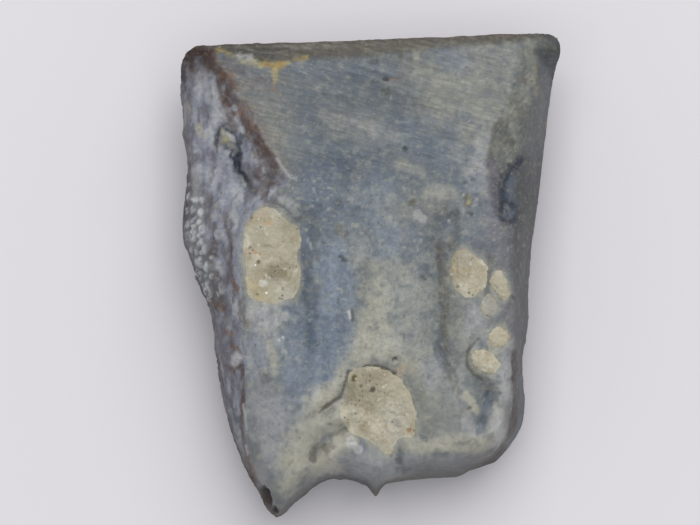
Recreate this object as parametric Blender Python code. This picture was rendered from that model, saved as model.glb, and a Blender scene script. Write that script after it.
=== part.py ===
"""A fossil hadrosaur tooth: one worn, shed crown lying on its back, with sandstone left in its hollows.

The crown is a wedge, wide at its worn end and narrow at its broken base. The side seen from above is the
dentine face: a smooth wear facet, steep flanks left and right, two grooves and a swell between them. The
underside is the enamel face, with a keel whose crest is worn to the flat spot that the tooth rests on.

Lengths are millimetres until a mesh is made. +X runs across the crown, +Y towards its worn end, +Z up.
"""

import math

import bpy
import numpy as np

MM = 0.001

# Heights above the table
FACE_TOP = 5.7  # the highest part of the dentine face
WAIST_AT_BASE = 2.2  # the edge of the silhouette, at the broken base
WAIST_AT_MIDDLE = 3.1  # the same halfway up the sides
WAIST_AT_WORN_END = 4.9  # the same at the worn end
LOWEST_FLANK = 0.15  # how far the face stays above the edge of the silhouette

# How far the dentine face drops towards its edges
LEFT_FLANK_DROP = 1.75
RIGHT_BAND_DROP = 0.45
RIGHT_WALL_DROP = 1.3
BASE_DROP = 1.25
BASE_DROP_WIDTH = 0.8
WORN_EDGE_DROP = 0.4
WORN_EDGE_WIDTH = 0.4
BOW_ACROSS = 0.010  # the drop per square of the distance from the middle line
BOW_TO_WORN_END = 0.010
BOW_TO_BASE = 0.024
BOW_CENTRE_Y = 0.5
RIDGE_RISE = 0.07
RIDGE_WIDTH = 0.3

# Outline, one path for each side
LEFT_SIDE = [
    (-5.31, 6.48), (-5.47, 6.15), (-5.52, 5.63), (-5.52, 4.87), (-5.46, 4.18), (-5.34, 3.6),
    (-5.31, 3.07), (-5.39, 2.35), (-5.44, 1.1), (-5.31, 0.58), (-5.08, -0.09), (-4.76, -0.81),
    (-4.59, -1.51), (-4.5, -2.29), (-4.33, -3.36), (-4.1, -4.32), (-3.81, -5.25), (-3.46, -5.95),
    (-3.17, -6.47), (-2.97, -6.84), (-2.73, -7.03),
]
BASE_SIDE = [
    (-2.73, -7.03), (-2.47, -6.92), (-2.07, -6.55), (-1.63, -6.19), (-1.17, -5.97), (-0.7, -5.97),
    (-0.24, -6.13), (-0.01, -6.29), (0.17, -6.51), (0.34, -6.26), (0.63, -6.06), (1.59, -5.93),
    (2.49, -5.87), (2.95, -5.67), (3.56, -5.45), (3.94, -5.15), (4.17, -4.84),
]
RIGHT_SIDE = [
    (4.17, -4.84), (4.43, -4.41), (4.53, -3.83), (4.47, -3.02), (4.47, -2.32), (4.59, -1.51),
    (4.63, -0.41), (4.72, 0.9), (4.92, 2.2), (5.04, 3.36), (5.21, 4.67), (5.36, 5.83), (5.5, 6.35),
    (5.52, 6.67), (5.42, 6.89),
]
WORN_SIDE = [
    (-5.31, 6.48), (-5.14, 6.6), (-4.82, 6.66), (-3.49, 6.7), (-1.17, 6.78), (0.86, 6.87),
    (2.6, 6.96), (4.11, 7.03), (5.1, 7.02), (5.42, 6.89),
]

# Ridges of the dentine face
LEFT_RIDGE = [
    (-4.85, 6.7), (-4.71, 6.38), (-4.3, 5.83), (-3.84, 5.19), (-3.55, 4.52), (-3.23, 4.03),
    (-2.88, 3.48), (-2.53, 2.87), (-2.59, 2.55), (-2.97, 2.2), (-3.37, 1.86), (-3.6, 1.39),
    (-3.69, 0.46), (-3.72, -0.99), (-3.66, -2.44), (-3.69, -3.74), (-3.66, -4.76), (-3.49, -5.57),
    (-3.2, -6.21), (-2.75, -7.03),
]
RIGHT_RIDGE = [
    (4.55, 7.0), (4.2, 6.09), (4.11, 5.39), (3.97, 4.81), (3.68, 4.38), (3.47, 3.8), (3.41, 3.22),
    (3.3, 2.64), (3.5, 1.77), (4.1, 0.9), (4.3, -0.4), (4.3, -5.0),
]
RIGHT_WALL = [
    (5.2, 7.0), (4.89, 5.92), (4.72, 5.25), (4.49, 4.38), (4.28, 3.6), (4.14, 2.93), (4.08, 2.06),
    (4.11, 0.75), (4.14, -0.7), (4.17, -1.86), (4.14, -2.78), (4.05, -3.89), (3.94, -4.64),
    (3.59, -5.22),
]
WORN_RIDGE = [
    (-5.4, 6.44), (-4.3, 6.5), (-3.69, 6.35), (-3.26, 6.18), (-2.85, 6.06), (-2.04, 6.24),
    (-0.59, 6.32), (0.86, 6.44), (2.31, 6.61), (4.34, 6.79), (5.5, 6.9),
]
BASE_RIDGE = [
    (-3.14, -7.08), (-2.62, -6.73), (-2.04, -6.15), (-1.4, -5.63), (-0.73, -5.19), (0.05, -5.63),
    (0.8, -5.28), (2.02, -5.25), (3.12, -5.05), (4.11, -4.58),
]

# Grooves, creases and crevices of the dentine face: path, half width, depth
TROUGHS = [
    ([(-1.86, 1.39), (-1.83, 0.32), (-1.75, -0.84), (-1.57, -2.0), (-1.46, -3.16)], 0.4, 0.42),
    ([(-0.95, 2.6), (-0.95, 0.4), (-0.95, -2.2)], 0.85, 0.15),
    ([(2.28, 1.57), (2.11, 0.61), (2.05, -0.7), (2.11, -1.8), (2.49, -2.61), (3.41, -3.54)], 0.34, 0.36),
    ([(-0.73, -3.42), (-1.11, -3.62), (-1.46, -3.89), (-1.6, -4.29)], 0.24, 0.18),
    ([(-0.7, -4.47), (-1.08, -4.55), (-1.4, -4.84), (-1.69, -5.39)], 0.26, 0.24),
    ([(-4.04, 3.74), (-3.89, 3.36), (-3.72, 2.93), (-3.46, 2.44)], 0.22, 0.3),
    ([(4.17, 3.19), (4.02, 2.73), (3.91, 2.06), (4.08, 1.57)], 0.22, 0.3),
]

# Swells and hollows of the dentine face: x, y, half width, half length, rise
SWELLS = [
    (0.66, -0.7, 1.0, 1.7, 0.2),
    (0.2, -2.3, 1.3, 0.45, 0.12),
    (-2.85, -2.1, 0.6, 1.2, 0.15),
    (-2.5, -4.7, 0.7, 1.1, 0.2),
    (-1.1, -5.1, 0.4, 0.4, 0.15),
    (-0.2, 4.4, 2.6, 1.5, -0.14),
    (0.25, -4.0, 0.95, 1.1, -0.2),
    (3.47, -3.39, 0.34, 0.36, -0.24),
    (3.18, -4.29, 0.36, 0.3, -0.18),
    (-4.18, 3.97, 0.28, 0.32, 0.14),
    (-4.7, 5.2, 0.4, 0.9, 0.12),
]

# The enamel side: the keel's worn crest is flat at height 0
CREST_X, CREST_Y = 0.0, 0.6
CREST_HALF_WIDTH = 1.1
CREST_HALF_LENGTH = 3.3
KEEL_SIDE_WIDTH = 2.2
KEEL_END_LENGTH = 3.2
FLUTE_RISE = 1.05
END_RISE = 1.1
MARGIN_INSET = 1.0
MARGIN_HALF_WIDTH = 0.5
MARGIN_HEIGHT = 0.22
UNDER_ROUNDING = 1.1
UNDER_WAVE = 0.05
WORN_END_SLOPE = 5.2  # of the steep plane under the worn edge
WORN_END_FROM_Y = 5.0

# Two small open holes at the tip: x, y, half width, half length, turn in degrees
TIP_HOLES = [(-3.06, -6.40, 0.12, 0.29, 16.0), (-2.78, -6.80, 0.1, 0.14, -18.0)]
TIP_HOLE_DEPTH = 1.6
TIP_HOLE_WALL = 1.0
TIP_HOLE_POINTS = 12

# Sandstone in the hollows: name, outline, depth of its pocket, how far it stands above the face
SANDSTONE = [
    (
        "sandstone_left",
        [
            (-2.97, 2.0), (-2.59, 1.83), (-2.33, 1.59), (-2.04, 1.33), (-2.01, 0.87), (-2.1, 0.52),
            (-2.01, 0.09), (-2.1, -0.41), (-2.44, -0.73), (-2.97, -0.81), (-3.4, -0.67), (-3.57, -0.29),
            (-3.66, 0.35), (-3.66, 0.96), (-3.55, 1.48), (-3.31, 1.86),
        ],
        0.7,
        0.1,
    ),
    (
        "sandstone_right",
        [
            (2.63, 0.81), (2.98, 0.73), (3.41, 0.29), (3.36, -0.09), (3.1, -0.52), (2.72, -0.58),
            (2.43, -0.35), (2.28, 0.09), (2.34, 0.49),
        ],
        0.6,
        0.1,
    ),
    (
        "sandstone_base",
        [
            (-0.59, -2.81), (-0.24, -2.64), (0.17, -2.62), (0.6, -2.76), (0.95, -3.05), (1.18, -3.51),
            (1.33, -4.06), (1.3, -4.58), (0.86, -4.7), (0.69, -5.05), (0.45, -5.2), (0.25, -4.96),
            (-0.18, -4.7), (-0.62, -4.5), (-0.85, -4.06), (-0.82, -3.65), (-0.67, -3.25),
        ],
        0.8,
        -0.1,
    ),
    (
        "sandstone_crumb_1",
        [
            (3.44, -0.2), (3.56, 0.09), (3.79, 0.12), (3.94, -0.17), (4.03, -0.5), (3.85, -0.67),
            (3.65, -0.49),
        ],
        0.35,
        0.06,
    ),
    (
        "sandstone_crumb_2",
        [(3.18, -0.81), (3.3, -0.62), (3.5, -0.64), (3.62, -0.87), (3.47, -1.1), (3.27, -1.04)],
        0.35,
        0.04,
    ),
    (
        "sandstone_crumb_3",
        [
            (3.41, -1.74), (3.53, -1.51), (3.76, -1.45), (3.97, -1.62), (3.99, -1.86), (3.79, -2.03),
            (3.53, -1.97),
        ],
        0.35,
        0.04,
    ),
    (
        "sandstone_crumb_4",
        [
            (2.9, -2.36), (3.01, -2.15), (3.3, -2.12), (3.56, -2.29), (3.73, -2.58), (3.56, -2.78),
            (3.21, -2.76), (2.97, -2.58),
        ],
        0.4,
        0.04,
    ),
]
POCKET_GAP = 0.05  # between each sandstone filling and the wall of its pocket
CUTTER_TOP = 0.9  # how far each cutter stands out of the face
DEEP = 0.5  # fillings deeper than this get more points
DEEP_POINTS, SHALLOW_POINTS = 20, 12

# Mesh spacing
RIM_STEPS = 3
RIM_SHARE = 0.045
COLUMNS, ROWS = 32, 42
PATH_POINTS = 80

TOOTH_COLOUR = (0.25, 0.28, 0.31, 1.0)
SANDSTONE_COLOUR = (0.58, 0.52, 0.42, 1.0)


def clear_scene():
    for thing in list(bpy.data.objects):
        bpy.data.objects.remove(thing, do_unlink=True)


def material(name, colour, roughness):
    made = bpy.data.materials.new(name)
    made.use_nodes = True
    shader = made.node_tree.nodes["Principled BSDF"]
    shader.inputs["Base Color"].default_value = colour
    shader.inputs["Roughness"].default_value = roughness
    shader.inputs["Metallic"].default_value = 0.0
    return made


def smooth_path(points, count, closed=False):
    """Evenly spaced points along a Catmull-Rom curve through the given ones."""
    p = np.array(points, float)
    if closed:
        p = np.vstack([p[-1:], p, p[:2]])
    else:
        p = np.vstack([2 * p[0] - p[1], p, 2 * p[-1] - p[-2]])
    t = np.linspace(0, 1, 16, endpoint=False)[:, None]
    spans = [
        b + 0.5 * t * ((c - a) + t * ((2 * a - 5 * b + 4 * c - d) + t * (3 * b - a - 3 * c + d)))
        for a, b, c, d in zip(p, p[1:], p[2:], p[3:])
    ]
    curve = np.vstack([*spans, p[-2:-1]])
    along = np.concatenate([[0], np.cumsum(np.linalg.norm(np.diff(curve, axis=0), axis=1))])
    wanted = np.linspace(0, along[-1], count, endpoint=not closed)
    return np.column_stack([np.interp(wanted, along, curve[:, k]) for k in (0, 1)])


def distance(path, x, y):
    """The distance from each point (x, y) to the nearest stretch of the path."""
    nearest = np.full(np.shape(x), np.inf)
    for (ax, ay), (bx, by) in zip(path, path[1:]):
        ux, uy = bx - ax, by - ay
        t = np.clip(((x - ax) * ux + (y - ay) * uy) / (ux * ux + uy * uy), 0, 1)
        nearest = np.minimum(nearest, np.hypot(x - ax - t * ux, y - ay - t * uy))
    return nearest


def across_at(path, y):
    """The x of a path that runs down the tooth, at each y."""
    line = smooth_path(path, PATH_POINTS)
    order = np.argsort(line[:, 1])
    return np.interp(y, line[order, 1], line[order, 0])


def along_at(path, x):
    """The y of a path that runs across the tooth, at each x."""
    line = smooth_path(path, PATH_POINTS)
    order = np.argsort(line[:, 0])
    return np.interp(x, line[order, 0], line[order, 1])


def smoothstep(low, high, value):
    t = np.clip((value - low) / (high - low), 0, 1)
    return t * t * (3 - 2 * t)


def ramp(value, softness):
    """Nothing below 0 and a slope of 1 above it, with the bend rounded over the softness."""
    return 0.5 * (value + np.sqrt(value * value + softness * softness))


def bell(x, y, centre_x, centre_y, half_width, half_length):
    return np.exp(-(((x - centre_x) / half_width) ** 2) - ((y - centre_y) / half_length) ** 2)


def silhouette():
    """The whole outline as one closed path."""
    sides = [LEFT_SIDE, BASE_SIDE, RIGHT_SIDE, WORN_SIDE[::-1]]
    return np.vstack([smooth_path(side, PATH_POINTS)[:-1] for side in sides] + [LEFT_SIDE[:1]])


def waist_height(y):
    """The height of the silhouette's edge."""
    middle = (WAIST_AT_MIDDLE - WAIST_AT_BASE) * smoothstep(-6, 1, y)
    worn_end = (WAIST_AT_WORN_END - WAIST_AT_MIDDLE) * smoothstep(5.4, 6.7, y)
    return WAIST_AT_BASE + middle + worn_end


def sloping_sides(x, y):
    """How far the flanks, the right wall, the worn edge and the base slope lie below the face's bow."""
    left_ridge = across_at(LEFT_RIDGE, y)
    flank_width = np.maximum(left_ridge - across_at(LEFT_SIDE, y), 0.35)
    drop = LEFT_FLANK_DROP * ramp(left_ridge - x, 0.25) / flank_width
    right_ridge, right_wall = across_at(RIGHT_RIDGE, y), across_at(RIGHT_WALL, y)
    band = ramp(x - right_ridge, 0.1) - ramp(x - right_wall, 0.1)
    drop += RIGHT_BAND_DROP * band / np.maximum(right_wall - right_ridge, 0.2) * smoothstep(0.9, 2.4, y)
    wall_width = np.maximum(across_at(RIGHT_SIDE, y) - right_wall, 0.35)
    drop += RIGHT_WALL_DROP * ramp(x - right_wall, 0.15) / wall_width
    drop += WORN_EDGE_DROP * ramp(y - along_at(WORN_RIDGE, x), 0.08) / WORN_EDGE_WIDTH
    drop += BASE_DROP * ramp(along_at(BASE_RIDGE, x) - y, 0.25) / BASE_DROP_WIDTH
    return drop


def open_face(x, y):
    """The height of the dentine face with its flanks, before its edge is rounded."""
    to_end = BOW_TO_WORN_END * np.maximum(y - BOW_CENTRE_Y, 0) ** 2
    to_base = BOW_TO_BASE * np.minimum(y - BOW_CENTRE_Y, 0) ** 2
    height = FACE_TOP - to_end - to_base - BOW_ACROSS * x * x - sloping_sides(x, y)
    for path, half_width, depth in TROUGHS:
        height -= depth * np.exp(-((distance(smooth_path(path, 24), x, y) / half_width) ** 2))
    for swell in SWELLS:
        height += swell[-1] * bell(x, y, *swell[:-1])
    from_ridge = distance(smooth_path(LEFT_RIDGE, PATH_POINTS), x, y)
    return height + RIDGE_RISE * np.exp(-((from_ridge / RIDGE_WIDTH) ** 2))


def rounding(inset, radius):
    """A quarter circle's share: 0 at the silhouette and 1 from the radius inwards."""
    t = np.clip(inset / radius, 0, 1)
    return np.sqrt(1 - (1 - t) ** 2)


def top_height(x, y, inset):
    """The dentine side: the open face, rounded down to the silhouette's edge."""
    edge = waist_height(y)
    right_shoulder = smoothstep(1, 4.5, x) * smoothstep(6.6, 5.2, y)
    radius = 0.34 + 0.3 * right_shoulder + 0.4 * smoothstep(-3.5, -6, y)
    face = np.maximum(open_face(x, y), edge + LOWEST_FLANK)
    return edge + (face - edge) * rounding(inset, radius)


def under_height(x, y, inset):
    """The enamel side: the keel's flat crest, a flute each side of it, low margins and the steep worn end."""
    beside = smoothstep(0, KEEL_SIDE_WIDTH, np.abs(x - CREST_X) - CREST_HALF_WIDTH)
    beyond = smoothstep(0, KEEL_END_LENGTH, np.abs(y - CREST_Y) - CREST_HALF_LENGTH)
    margin = np.exp(-(((inset - MARGIN_INSET) / MARGIN_HALF_WIDTH) ** 2))
    waves = UNDER_WAVE * np.sin(1.9 * x + 0.7 * y) * np.sin(1.3 * y - 0.6 * x)
    relief = (waves - MARGIN_HEIGHT * margin) * np.maximum(beside, beyond)
    height = FLUTE_RISE * beside + END_RISE * beyond + relief
    edge = waist_height(y)
    height = edge - (edge - height) * rounding(inset, UNDER_ROUNDING)
    worn_end = edge - WORN_END_SLOPE * (along_at(WORN_SIDE, x) - y)
    return np.maximum(height, np.where(y > WORN_END_FROM_Y, worn_end, 0))


def rim_spacing(count):
    """Shares from 0 to 1: closer and closer towards both ends, and even between them."""
    start = RIM_SHARE * (1 - np.cos(np.linspace(0, math.pi / 2, RIM_STEPS, endpoint=False)))
    return np.concatenate([start, np.linspace(RIM_SHARE, 1 - RIM_SHARE, count), 1 - start[::-1]])


def spaced_along(side, shares):
    line = smooth_path(side, 400)
    even = np.linspace(0, 1, 400)
    return np.column_stack([np.interp(shares, even, line[:, k]) for k in (0, 1)])


def plan_grid():
    """Rows of points that fill the silhouette: a Coons patch between its four sides."""
    u, v = rim_spacing(COLUMNS), rim_spacing(ROWS)
    left, right = spaced_along(LEFT_SIDE[::-1], v)[:, None], spaced_along(RIGHT_SIDE, v)[:, None]
    base, worn = spaced_along(BASE_SIDE, u)[None], spaced_along(WORN_SIDE, u)[None]
    u, v = u[None, :, None], v[:, None, None]
    base_line = (1 - u) * base[:, :1] + u * base[:, -1:]
    worn_line = (1 - u) * worn[:, :1] + u * worn[:, -1:]
    grid = (1 - v) * (base - base_line) + v * (worn - worn_line) + (1 - u) * left + u * right
    return grid[..., 0], grid[..., 1]


def corners(values):
    return values[:-1, :-1], values[:-1, 1:], values[1:, 1:], values[1:, :-1]


def triangles(index, height, middle_height):
    """Each square of the grid split along the diagonal that lies closer to the surface at its middle."""
    a, b, c, d = corners(height)
    first = np.abs((a + c) / 2 - middle_height) <= np.abs((b + d) / 2 - middle_height)
    a, b, c, d = corners(index)
    along_first = np.stack([a, b, c, a, c, d], axis=-1)
    along_second = np.stack([a, b, d, b, c, d], axis=-1)
    return np.where(first[..., None], along_first, along_second).reshape(-1, 3)


def tooth_mesh():
    """The closed tooth: the dentine side's grid and the enamel side's, which share their rim."""
    x, y = plan_grid()
    middle_x, middle_y = sum(corners(x)) / 4, sum(corners(y)) / 4
    outline = silhouette()
    inset = distance(outline, x, y)
    inset[[0, -1], :] = 0
    inset[:, [0, -1]] = 0
    middle_inset = distance(outline, middle_x, middle_y)
    rows, columns = x.shape
    index = np.arange(rows * columns).reshape(rows, columns)
    top = top_height(x, y, inset)
    faces = [triangles(index, top, top_height(middle_x, middle_y, middle_inset))]
    under = under_height(x, y, inset)
    index = index.copy()
    index[1:-1, 1:-1] = rows * columns + np.arange((rows - 2) * (columns - 2)).reshape(rows - 2, columns - 2)
    faces.append(triangles(index, under, under_height(middle_x, middle_y, middle_inset))[:, ::-1])
    top_points = np.stack([x, y, top], axis=-1).reshape(-1, 3)
    under_points = np.stack([x, y, under], axis=-1)[1:-1, 1:-1].reshape(-1, 3)
    mesh = bpy.data.meshes.new("tooth")
    mesh.from_pydata((np.vstack([top_points, under_points]) * MM).tolist(), [], np.vstack(faces).tolist())
    return mesh


def add_object(name, mesh, finish, sharp_angle):
    made = bpy.data.objects.new(name, mesh)
    mesh.materials.append(finish)
    mesh.shade_smooth()
    mesh.set_sharp_from_angle(angle=math.radians(sharp_angle))
    bpy.context.scene.collection.objects.link(made)
    return made


def lump_mesh(name, border, profile):
    """Rings from a middle point on top to one below. The profile lists shares of the border and heights."""
    middle = border.mean(axis=0)
    count = len(border)
    points = []
    for share, lift in profile:
        ring = middle + (border - middle) * share if share else middle[None]
        x, y = ring[:, 0], ring[:, 1]
        points.append(np.column_stack([x, y, open_face(x, y) + lift]))
    faces = []
    last = 1 + (len(profile) - 2) * count
    for k in range(count):
        following = (k + 1) % count
        faces.append((0, 1 + following, 1 + k))
        for start in range(1, last - count, count):
            faces.append((start + k, start + following, start + count + following, start + count + k))
        faces.append((last, last - count + k, last - count + following))
    mesh = bpy.data.meshes.new(name)
    mesh.from_pydata((np.vstack(points) * MM).tolist(), [], faces)
    return mesh


def grown(border, by):
    """The border, which runs clockwise, moved outwards."""
    along = np.roll(border, -1, axis=0) - np.roll(border, 1, axis=0)
    outwards = np.column_stack([-along[:, 1], along[:, 0]]) / np.linalg.norm(along, axis=1)[:, None]
    return border + outwards * by


def cut(tooth, name, border, profile, finish):
    cutter = add_object(name, lump_mesh(name, border, profile), finish, 40)
    cutter.hide_render = True
    cutter.display_type = "WIRE"
    opening = tooth.modifiers.new(name, "BOOLEAN")
    opening.operation = "DIFFERENCE"
    opening.solver = "EXACT"
    opening.object = cutter


def add_sandstone(tooth, name, points, depth, proud, finish):
    """One filling, and the pocket of the same shape that it sits in."""
    border = smooth_path(points, DEEP_POINTS if depth > DEEP else SHALLOW_POINTS, closed=True)
    wall = [(0.96, -0.5 * depth)]
    filling = [(0, proud + 0.03), (0.45, proud + 0.03), (0.85, proud), (1, proud - 0.08)]
    filling += wall + [(0.7, -0.85 * depth), (0, -depth)]
    add_object(name, lump_mesh(name, border, filling), finish, 50)
    pocket = [(0, CUTTER_TOP), (1, CUTTER_TOP), (1, -0.08)]
    pocket += wall + [(0.7, -0.85 * depth - POCKET_GAP), (0, -depth - POCKET_GAP)]
    cut(tooth, name + "_pocket", grown(border, POCKET_GAP), pocket, finish)


def add_tip_hole(tooth, number, hole, finish):
    """A narrow hole that tapers down into the tip."""
    x, y, half_width, half_length, turn = hole
    angle = -np.linspace(0, 2 * math.pi, TIP_HOLE_POINTS, endpoint=False)
    across, up = half_width * np.cos(angle), half_length * np.sin(angle)
    cosine, sine = math.cos(math.radians(turn)), math.sin(math.radians(turn))
    border = np.column_stack([x + across * cosine - up * sine, y + across * sine + up * cosine])
    profile = [(0, CUTTER_TOP), (1, CUTTER_TOP), (1, -0.2), (0.8, -TIP_HOLE_WALL), (0, -TIP_HOLE_DEPTH)]
    cut(tooth, f"tip_hole_{number}", border, profile, finish)


def main():
    clear_scene()
    tooth_finish = material("fossil_tooth", TOOTH_COLOUR, 0.5)
    sandstone_finish = material("sandstone", SANDSTONE_COLOUR, 0.95)
    tooth = add_object("tooth", tooth_mesh(), tooth_finish, 50)
    for name, points, depth, proud in SANDSTONE:
        add_sandstone(tooth, name, points, depth, proud, sandstone_finish)
    for number, hole in enumerate(TIP_HOLES, 1):
        add_tip_hole(tooth, number, hole, tooth_finish)


main()
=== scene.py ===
"""The looks of a fossil hadrosaur tooth: a worn crown lying on its back, with sandstone in its hollows.

Lengths are millimetres until a mesh is made. +X runs across the crown, +Y towards its worn end, +Z up.
"""

import math

import bpy
import numpy as np
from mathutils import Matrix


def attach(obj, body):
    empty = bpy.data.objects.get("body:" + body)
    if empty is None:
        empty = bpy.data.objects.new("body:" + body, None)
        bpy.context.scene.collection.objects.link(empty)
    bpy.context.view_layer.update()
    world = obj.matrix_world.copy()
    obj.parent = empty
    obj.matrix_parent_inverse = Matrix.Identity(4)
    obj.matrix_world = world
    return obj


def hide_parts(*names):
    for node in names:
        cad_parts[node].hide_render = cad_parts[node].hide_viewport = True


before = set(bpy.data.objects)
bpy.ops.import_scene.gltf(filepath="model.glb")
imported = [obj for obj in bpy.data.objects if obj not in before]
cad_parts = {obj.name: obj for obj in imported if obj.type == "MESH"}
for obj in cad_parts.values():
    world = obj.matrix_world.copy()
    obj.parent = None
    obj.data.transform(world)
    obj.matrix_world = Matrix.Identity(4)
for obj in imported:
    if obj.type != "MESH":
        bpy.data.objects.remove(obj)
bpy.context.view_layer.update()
MM = 0.001


# The tooth: its plan
# The crown is one piece of mineralised dentine with a thin enamel skin underneath. Seen from above, its
# silhouette has four sides: two flanks, the broken base and the worn end.

# the silhouette's sides
LEFT_SIDE = [
    (-5.31, 6.48), (-5.47, 6.15), (-5.52, 5.63), (-5.52, 4.87), (-5.46, 4.18), (-5.34, 3.6),
    (-5.31, 3.07), (-5.39, 2.35), (-5.44, 1.1), (-5.31, 0.58), (-5.08, -0.09), (-4.76, -0.81),
    (-4.59, -1.51), (-4.5, -2.29), (-4.33, -3.36), (-4.1, -4.32), (-3.81, -5.25), (-3.46, -5.95),
    (-3.17, -6.47), (-2.97, -6.84), (-2.73, -7.03),
]
BASE_SIDE = [
    (-2.73, -7.03), (-2.47, -6.92), (-2.07, -6.55), (-1.63, -6.19), (-1.17, -5.97), (-0.7, -5.97),
    (-0.24, -6.1), (-0.06, -6.23), (0.04, -6.37), (0.12, -6.44), (0.2, -6.44), (0.27, -6.36),
    (0.38, -6.2), (0.63, -6.06), (1.59, -5.93), (2.49, -5.87), (2.95, -5.67), (3.56, -5.45),
    (3.94, -5.15), (4.17, -4.84),
]
RIGHT_SIDE = [
    (4.17, -4.84), (4.43, -4.41), (4.53, -3.83), (4.47, -3.02), (4.47, -2.32), (4.59, -1.51),
    (4.63, -0.41), (4.72, 0.9), (4.92, 2.2), (5.04, 3.36), (5.21, 4.67), (5.36, 5.83), (5.5, 6.35),
    (5.52, 6.67), (5.42, 6.89),
]
WORN_SIDE = [
    (-5.31, 6.48), (-5.14, 6.62), (-4.82, 6.7), (-3.49, 6.75), (-1.17, 6.82), (0.86, 6.9),
    (2.6, 6.97), (4.11, 7.03), (5.1, 7.02), (5.42, 6.89),
]
# the ridges on it: beside the left flank, along the right band and wall, and above the two ends' slopes
LEFT_RIDGE = [
    (-4.8, 6.7), (-4.53, 6.21), (-4.24, 5.86), (-3.92, 5.54), (-3.75, 5.16), (-3.49, 4.76),
    (-3.26, 4.29), (-3.08, 3.94), (-2.88, 3.6), (-2.68, 3.25), (-2.5, 2.96), (-2.37, 2.78),
    (-2.46, 2.6), (-2.73, 2.44), (-3.0, 2.18), (-3.37, 1.84), (-3.6, 1.39), (-3.69, 0.46),
    (-3.72, -0.99), (-3.66, -2.44), (-3.69, -3.74), (-3.66, -4.76), (-3.49, -5.57), (-3.2, -6.21),
    (-2.75, -7.03),
]
RIGHT_RIDGE = [
    (4.5, 7.0), (4.31, 6.41), (4.23, 5.83), (4.11, 5.39), (3.97, 5.02), (3.76, 4.58), (3.56, 4.15),
    (3.44, 3.65), (3.36, 3.22), (3.39, 2.78), (3.53, 2.35), (3.8, 1.5), (4.1, 0.9), (4.3, -0.4),
    (4.3, -5.0),
]
RIGHT_WALL = [
    (5.2, 7.0), (4.9, 5.92), (4.82, 5.3), (4.54, 4.45), (4.34, 3.6), (4.2, 2.93), (4.1, 2.06),
    (4.11, 0.75), (4.14, -0.7), (4.17, -1.86), (4.14, -2.78), (4.05, -3.89), (3.94, -4.64),
    (3.59, -5.22),
]
WORN_RIDGE = [
    (-5.4, 6.44), (-4.3, 6.5), (-3.69, 6.35), (-3.26, 6.18), (-2.85, 6.06), (-2.04, 6.24),
    (-0.59, 6.32), (0.86, 6.44), (2.31, 6.61), (4.34, 6.79), (5.5, 6.9),
]
BASE_RIDGE = [
    (-3.14, -7.08), (-2.62, -6.73), (-2.04, -6.15), (-1.4, -5.63), (-0.73, -5.19), (0.05, -5.63),
    (0.8, -5.28), (2.02, -5.25), (3.12, -5.05), (4.11, -4.58),
]
COLUMNS, ROWS = 240, 310  # squares of the upper side's grid; the underside has half as many each way
RIM_STEPS = 12  # squares across the crowded strip along the rim
RIM_SHARE = 0.05  # the strip's share of the width


def smooth_path(points, count, closed=False):
    """Evenly spaced points along a Catmull-Rom curve: on each span a cubic through both ends, whose slope
    there is half the step between the two neighbours."""
    p = np.array(points, float)
    p = np.vstack([p[-1:], p, p[:2]] if closed else [2 * p[0] - p[1], p, 2 * p[-1] - p[-2]])
    t = np.linspace(0, 1, 16, endpoint=False)[:, None]
    spans = [
        b + 0.5 * t * ((c - a) + t * ((2 * a - 5 * b + 4 * c - d) + t * (3 * b - a - 3 * c + d)))
        for a, b, c, d in zip(p, p[1:], p[2:], p[3:])
    ]
    curve = np.vstack([*spans, p[-2:-1]])
    along = np.concatenate([[0], np.cumsum(np.linalg.norm(np.diff(curve, axis=0), axis=1))])
    wanted = np.linspace(0, along[-1], count, endpoint=not closed)
    return np.column_stack([np.interp(wanted, along, curve[:, k]) for k in (0, 1)])


def distance(path, x, y):
    """The distance from each point to the nearest stretch of the path: for each stretch, to the foot of the
    perpendicular, held between the stretch's ends."""
    nearest = np.full(np.shape(x), np.inf)
    for (ax, ay), (bx, by) in zip(path, path[1:]):
        ux, uy = bx - ax, by - ay
        t = np.clip(((x - ax) * ux + (y - ay) * uy) / (ux * ux + uy * uy), 0, 1)
        nearest = np.minimum(nearest, np.hypot(x - ax - t * ux, y - ay - t * uy))
    return nearest


def path_value(path, axis, at):
    """The path's coordinate along one axis as a function of the other one."""
    line = smooth_path(path, 120)
    order = np.argsort(line[:, 1 - axis])
    return np.interp(at, line[order, 1 - axis], line[order, axis])


def smoothstep(low, high, value):
    """The cubic 3t² - 2t³, with t from 0 at low to 1 at high."""
    t = np.clip((value - low) / (high - low), 0, 1)
    return t * t * (3 - 2 * t)


def plan_grid(columns, rows):
    """A Coons patch: the four sides blended across the plan, less the blend of the corners. Lines of the
    grid crowd towards the rim like the cosine of equal angles, and are evenly spaced between."""
    shares = []
    for count, steps in ((columns, RIM_STEPS * columns // COLUMNS), (rows, RIM_STEPS * rows // ROWS)):
        start = RIM_SHARE * (1 - np.cos(np.linspace(0, math.pi / 2, steps, endpoint=False)))
        middle = np.linspace(RIM_SHARE, 1 - RIM_SHARE, count + 1 - 2 * steps)
        shares.append(np.concatenate([start, middle, 1 - start[::-1]]))
    u, v = shares
    even = np.linspace(0, 1, 2000)
    sides = []
    for side, share in ((LEFT_SIDE[::-1], v), (RIGHT_SIDE, v), (BASE_SIDE, u), (WORN_SIDE, u)):
        line = smooth_path(side, 2000)
        sides.append(np.column_stack([np.interp(share, even, line[:, k]) for k in (0, 1)]))
    left, right, base, worn = sides[0][:, None], sides[1][:, None], sides[2][None], sides[3][None]
    u, v = u[None, :, None], v[:, None, None]
    base_line = (1 - u) * base[:, :1] + u * base[:, -1:]
    worn_line = (1 - u) * worn[:, :1] + u * worn[:, -1:]
    grid = (1 - v) * (base - base_line) + v * (worn - worn_line) + (1 - u) * left + u * right
    return grid[..., 0], grid[..., 1]


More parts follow.
